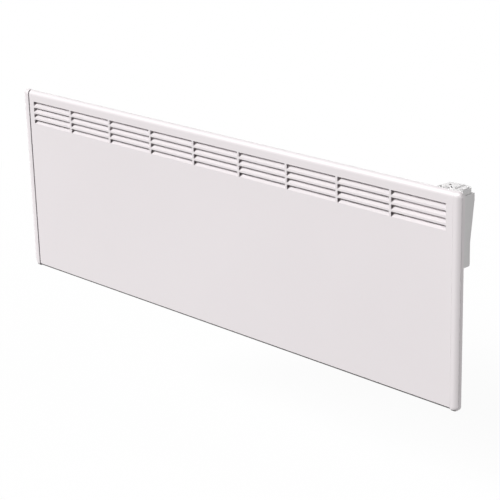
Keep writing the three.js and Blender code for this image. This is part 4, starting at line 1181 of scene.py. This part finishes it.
def buildGland():
    spec = glandSpec
    low, top, inside = spec["top"] - spec["length"], spec["top"], spec["inside"]
    bore, neck, radius = spec["bore"], spec["neck"], spec["radius"]
    nut, foot, under = neck + spec["nut"], low + spec["nutLow"], top - spec["flange"]
    profile = [(bore, low + 0.6), (bore + 0.6, low), (neck - 0.6, low), (neck, low + 0.6), (nut, foot),
               (nut, under), (radius - 0.4, under), (radius, under + 0.4), (radius, top - 0.3),
               (radius - 0.3, top), (neck, top), (neck, inside - 0.5), (neck - 0.5, inside), (bore, inside)]
    gland = lathe("gland", profile, "Z", glandPlace, 72)
    rib = rod("rib", spec["rib"], "Z", (neck + 1.0, 0, 0), foot + 0.4, under + 0.4, 0.2, 12)
    runTree(gland, ribTree, glandRubber, {"Rib": rib, "Count": spec["ribs"], "Centre": metres(glandPlace)})
    complete(gland, "cordGland", glandRubber, "cable_gland")


# Board: its blocks by x, z, width, height and depth, its cans by x, z, radius and depth, and a row of joints
boardSpec = {"x": (529.8, 580.2), "y": (-67.0, -65.4), "z": (70.8, 140.8), "corner": 1.5, "hole": 1.6,
             "margin": 4,
             "blocks": [(541, 124, 19, 15.5, 15), (566, 126, 10, 12, 9), (545, 100, 10, 4, 2),
                        (560, 100, 6, 6, 1.2), (570, 84, 9, 8, 7), (538, 84, 8, 10, 11)],
             "cans": [(566, 110, 3.2, 9), (552, 84, 4, 11), (574, 98, 2.2, 6)],
             "joints": 14, "jointStart": (533, 76), "jointPitch": 3.3}


def buildBoard():
    spec = boardSpec
    (x0, x1), (y0, y1), (z0, z1) = spec["x"], spec["y"], spec["z"]
    edge = spec["margin"]
    plate = prism("board", rounded(rectangle(x0, x1, z0, z1), spec["corner"], 4), "Y", y0, y1)
    corners = [(x, z) for x in (x0 + edge, x1 - edge) for z in (z0 + edge, z1 - edge)]
    carve(plate, bores(spec["hole"], corners, y0 - 1, y1 + 1, 24))
    complete(plate, "controlBoard", board, "circuit_board")
    blocks = [slab("part", around(x, width), (y1, y1 + depth), around(z, height), 0.4, 2)
              for x, z, width, height, depth in spec["blocks"]]
    cans = []
    for x, z, radius, depth in spec["cans"]:
        end = y1 + depth
        can = [(0, y1), (radius, y1), (radius, y1 + 1), (radius - 0.35, y1 + 1.4), (radius, y1 + 1.8),
               (radius, end - 0.4), (radius - 0.4, end), (0, end)]
        cans.append(lathe("can", can, "Y", (x, 0, z), 24))
    dome = [(0, y0 - 0.7), (0.5, y0 - 0.6), (1.0, y0 - 0.1), (1.0, y0 + 0.1), (0, y0 + 0.1)]
    # The joints are staggered over three levels
    x, z = spec["jointStart"]
    for k in range(spec["joints"]):
        cans.append(lathe("joint", dome, "Y", (x + spec["jointPitch"] * k, 0, z + (k * 7) % 3), 10))
    complete(gather("boardBlocks", blocks), "boardBlocks", blackPlastic)
    complete(gather("boardCans", cans), "boardCans", zincPlate)


# The block that the leads are screwed into, its three wells parted by two slots
terminalSpec = {"x": (487.5, 521.5), "y": (-60.3, -46.3), "z": (150.5, 166.5), "edge": 0.6, "level": 158.5,
                "well": 2.4, "wellFloor": -53.3, "slots": (498.8, 510.2), "slot": (1.2, 3), "cut": (149, 168),
                "head": [(0, 0), (2.0, 0), (2.0, -1.2), (1.7, -1.6), (0, -1.6)], "seat": -53.5}


def buildTerminals():
    spec = terminalSpec
    (left, right), level = spec["x"], spec["level"]
    face = spec["y"][0]
    block = slab("block", spec["x"], spec["y"], spec["z"], spec["edge"])
    wells = [right - (right - left) * (2.5 - k) / 3 for k in range(3)]
    carve(block, bores(spec["well"], [(x, level) for x in wells], face - 1, spec["wellFloor"], 32))
    width, depth = spec["slot"]
    carve(block, [slab("slot", around(x, width), (face - 1, face + depth), spec["cut"])
                  for x in spec["slots"]])
    complete(block, "terminalBlock", ceramic, "terminal_block")
    head = lathe("head", spec["head"], "Y", (0, 0, 0), 24)
    carve(head, [slab("slot", (-2.5, 2.5), (-2.0, -0.9), (-0.3, 0.3))])
    setDown("terminalScrews", [(x, spec["seat"], level) for x in wells], head, 11)


# Thermostat under the dial, and the probe that feels the room's air at the vents
thermostatSpec = {"size": 22, "z": (172.5, 187.5), "edge": 1.0, "bush": 4.5, "bushTop": 189.4, "bore": 3.35,
                  "flutes": (-6, 0, 6), "fluteWidth": 1.0, "fluteTop": 173.3}
probeSpec = {"place": (564.5, -66.2, 0), "tip": 59.8, "stem": 0.6, "top": 70.5,
             "bead": [(0, 0), (1.3, 0.3), (2.2, 1.3), (2.2, 6.0), (1.6, 7.1), (0.6, 7.7)]}


def buildThermostat():
    spec = thermostatSpec
    x, y = dialPlace[:2]
    size, (low, high) = spec["size"], spec["z"]
    body = slab("thermostat", around(x, size), around(y, size), (low, high), spec["edge"])
    fuse(body, [rod("bush", spec["bush"], "Z", dialPlace, high - 1, spec["bushTop"], 0.3)])
    carve(body, [rod("bore", spec["bore"], "Z", dialPlace, low + 3, spec["bushTop"] + 1)])
    heights = (low - 1.5, spec["fluteTop"])
    carve(body, [slab("flute", around(x, size + 2), around(y + v, spec["fluteWidth"]), heights)
                 for v in spec["flutes"]])
    complete(body, "thermostatBody", blackPlastic, "thermostat_body")
    probe = [(radius, probeSpec["tip"] + up) for radius, up in probeSpec["bead"]]
    probe += [(probeSpec["stem"], probeSpec["top"]), (0, probeSpec["top"])]
    complete(lathe("probe", probe, "Z", probeSpec["place"], 32), "roomProbe", blackPlastic, "room_sensor")


buildGland()
buildBoard()
buildTerminals()
buildThermostat()
print("box filled")

# Cut-out disc on its bracket, with two tabs at its front
cutoutSpec = {"x": 200, "z": -46, "tabs": (-4, 4), "tab": (3.2, 1.0), "tabDepth": (-62, -56), "eye": 0.8,
              "eyePlace": -60, "eyeCut": (-50, -40),
              "disc": [(0, -57), (5.2, -57), (5.2, -56.2), (7.4, -56.2), (8, -55.6), (8, -50.6), (7.4, -50),
                       (0, -50)]}


def buildCutout():
    spec = cutoutSpec
    x, z = spec["x"], spec["z"]
    complete(lathe("disc", spec["disc"], "Y", (x, 0, z), 64), "cutoutDisc", blackPlastic, "thermal_cutout")
    width, thick = spec["tab"]
    tabs = []
    for u in spec["tabs"]:
        tab = slab("tab", around(x + u, width), spec["tabDepth"], around(z, thick), 0.2)
        eye = rod("eye", spec["eye"], "Z", (x + u, spec["eyePlace"], 0), *spec["eyeCut"], steps=20)
        tabs.append(carve(tab, [eye]))
    complete(gather("tabs", tabs), "cutoutTabs", zincPlate)


leadFinishes = {"lead_live": brownWire, "lead_element": brownWire, "lead_neutral": blueWire,
                "lead_earth": earthWire}
sleeveSpec = {"end": [(4.1, 0.3), (4.4, 0), (4.7, 0), (4.9, 0.3)]}


# The leads keep their packed routes and get rounder; the sleeve guards them where they enter the box
def buildLeads():
    for node, finish in leadFinishes.items():
        lead = copied(node, merge=1e-6, paired=True)
        modify(lead, "SUBSURF", levels=1, render_levels=1)
        settle(lead)
        complete(lead, node.split("_")[1] + "Lead", finish, node, smooth=80)
    low, high = [corner[0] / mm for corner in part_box("wire_sleeve")]
    tube = [(radius, low + inset) for radius, inset in sleeveSpec["end"]]
    tube += [(radius, high - inset) for radius, inset in sleeveSpec["end"][::-1]]
    complete(lathe("sleeve", tube, "X", wireWay["place"], 48), "leadSleeve", rubber, "wire_sleeve")


buildCutout()
buildLeads()
print("wired")

# Wall bracket: folded uprights with an open hook low down, on a crossbar
bracketSpec = {"places": (-350, 350), "width": 30.0, "depth": 22.0, "wall": 1.5, "bottom": -172.0,
               "top": 145.0, "pivot": (-26.05, -150.0), "slot": 3.35, "hook": 6.35, "hookHeight": 11.0,
               "chamfer": 4.0, "window": (-20.3, 20.3), "wallHoles": (-142, 115), "wallHole": 3,
               "rivetHole": 2.35, "pin": 3}


def cheekOutline(spec):
    pivot, slot, hook, depth = spec["pivot"], spec["slot"], spec["hook"], spec["depth"]
    y, z = pivot
    top = z + spec["hookHeight"]
    points = [(0, spec["bottom"]), (0, spec["top"]), (-depth, spec["top"]), (-depth, top), (y + slot, top)]
    points += arc(pivot, slot, 0, -pi, 12) + [(y - slot, top), (y - hook, top)]
    points += arc(pivot, hook, pi, pi * 1.5, 8)
    return points + [(-depth + spec["chamfer"], spec["bottom"])]


def buildBracket():
    spec = bracketSpec
    half, wall = spec["width"] / 2, spec["wall"]
    for (side, sign), x in zip(sides, spec["places"]):
        upright = slab("web", (x - half, x + half), (-wall, 0), (spec["bottom"], spec["top"]))
        fuse(upright, [prism("cheek", cheekOutline(spec), "X", u, u + wall)
                       for u in (x - half, x + half - wall)])
        inner = sorted((x - sign * (half - 2.5), x - sign * (half + 2.5)))
        carve(upright, [slab("window", inner, (-3.6, -wall), spec["window"]),
                        *bores(spec["wallHole"], [(x, z) for z in spec["wallHoles"]], -4, 1, 48),
                        *bores(spec["rivetHole"], [(x, z) for z in rivetSpec["z"]], -5, 1, 32)])
        softenEdges(upright, 0.3, 3, 50)
        complete(upright, "upright" + side.title(), paint, "wall_upright_" + side, body="bracket")
        low, high = [corner[0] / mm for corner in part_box("pivot_pin_" + side)]
        pin = rod("pin", spec["pin"], "X", (0, *spec["pivot"]), low, high, 0.6)
        complete(pin, "pin" + side.title(), zincPlate, "pivot_pin_" + side)


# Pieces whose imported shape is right, with the width of their worked edges, their finish and their body
workedPieces = {
    "bracket_crossbar": (0.3, paint, "bracket"),
    "snap_clip_left": (0.2, zincPlate, "bracket"),
    "snap_clip_right": (0.2, zincPlate, "bracket"),
    "pivot_bracket_left": (0.4, zincPlate, "heater"),
    "pivot_bracket_right": (0.4, zincPlate, "heater"),
    "catch_tongue_left": (0.4, zincPlate, "heater"),
    "catch_tongue_right": (0.4, zincPlate, "heater"),
    "element_support_left": (0.25, zincPlate, "heater"),
    "element_support_middle": (0.25, zincPlate, "heater"),
    "element_support_right": (0.25, zincPlate, "heater"),
    "cutout_bracket": (0.3, zincPlate, "heater"),
}


def buildWorked():
    for node, (edge, finish, body) in workedPieces.items():
        first, *rest = node.split("_")
        piece = softenEdges(copied(node, merge=2e-6, flat=0.6), edge, 3)
        complete(piece, first + "".join(word.title() for word in rest), finish, node, body=body)


buildBracket()
buildWorked()
print("bracket made")

# Floor, backdrop and lamps
stage = {"floor": -0.50, "shade": (0.9, 0.9, 0.9), "dim": (0.14, 0.14, 0.14), "reach": 40, "seen": 1.0,
         "air": 0.13, "shadow": 0.06, "fade": (0.8, 2.4)}
lamps = [
    {"name": "keyLamp", "place": (-13.6, -22.8, 18.2), "aim": (0, 0, 0), "size": 11.2, "watts": 12500},
    {"name": "sideLamp", "place": (4.6, 1.9, 1.3), "aim": (0.58, 0, 0), "size": 2.0, "watts": 92},
    {"name": "backLamp", "place": (-2.6, 7.6, 1.0), "aim": (0, 0, 0), "size": 4.0, "watts": 420},
]


# One where a point is seen by the camera, in a gloss or through the lens
def seenDirectly(start):
    sight, gloss, through = [start.make("ShaderNodeLightPath", out=f"Is {kind} Ray")
                             for kind in ("Camera", "Glossy", "Transmission")]
    return start.maths("MAXIMUM", start.maths("MAXIMUM", sight, gloss), through)


def addFloor():
    reach = around(0, stage["reach"] / mm)
    floor = toObject("studioFloor", [(u, v, 0) for u, v in rectangle(*reach, *reach)], [(0, 1, 2, 3)])
    floor.location.z = stage["floor"]
    finish, place = newFinish("studioFloor")
    far = place.make("ShaderNodeVectorMath", {0: place}, "Value", operation="LENGTH")
    veil = far.ranged(*stage["fade"], 1 - stage["shadow"], 1)
    matt = place.make("ShaderNodeBsdfDiffuse", {"Color": rgba(stage["shade"])})
    white = place.make("ShaderNodeEmission", {"Color": (1, 1, 1, 1), "Strength": stage["seen"]})
    shown = place.make("ShaderNodeMixShader", {0: veil, 1: matt, 2: white})
    dim = place.make("ShaderNodeBsdfDiffuse", {"Color": rgba(stage["dim"])})
    both = place.make("ShaderNodeMixShader", {0: seenDirectly(place), 1: dim, 2: shown})
    place.make("ShaderNodeOutputMaterial", {"Surface": both})
    floor.data.materials.append(finish)


def addAir():
    world = bpy.data.worlds.new("studioAir")
    bpy.context.scene.world = world
    world.use_nodes = True
    world.node_tree.nodes.clear()
    air = Wire(world.node_tree)
    dim, white = [air.make("ShaderNodeBackground", {"Color": (1, 1, 1, 1), "Strength": stage[key]})
                  for key in ("air", "seen")]
    both = air.make("ShaderNodeMixShader", {0: seenDirectly(air), 1: dim, 2: white})
    air.make("ShaderNodeOutputWorld", {"Surface": both})


def addLamps():
    for spec in lamps:
        data = bpy.data.lights.new(spec["name"], "AREA")
        data.size = spec["size"]
        data.energy = spec["watts"]
        lamp = linked(spec["name"], data)
        lamp.location = spec["place"]
        ray = Vector(spec["aim"]) - Vector(spec["place"])
        lamp.rotation_euler = ray.to_track_quat("-Z", "Y").to_euler()


addFloor()
addAir()
addLamps()
bpy.context.scene.view_settings.view_transform = "Standard"
print("stage lit")
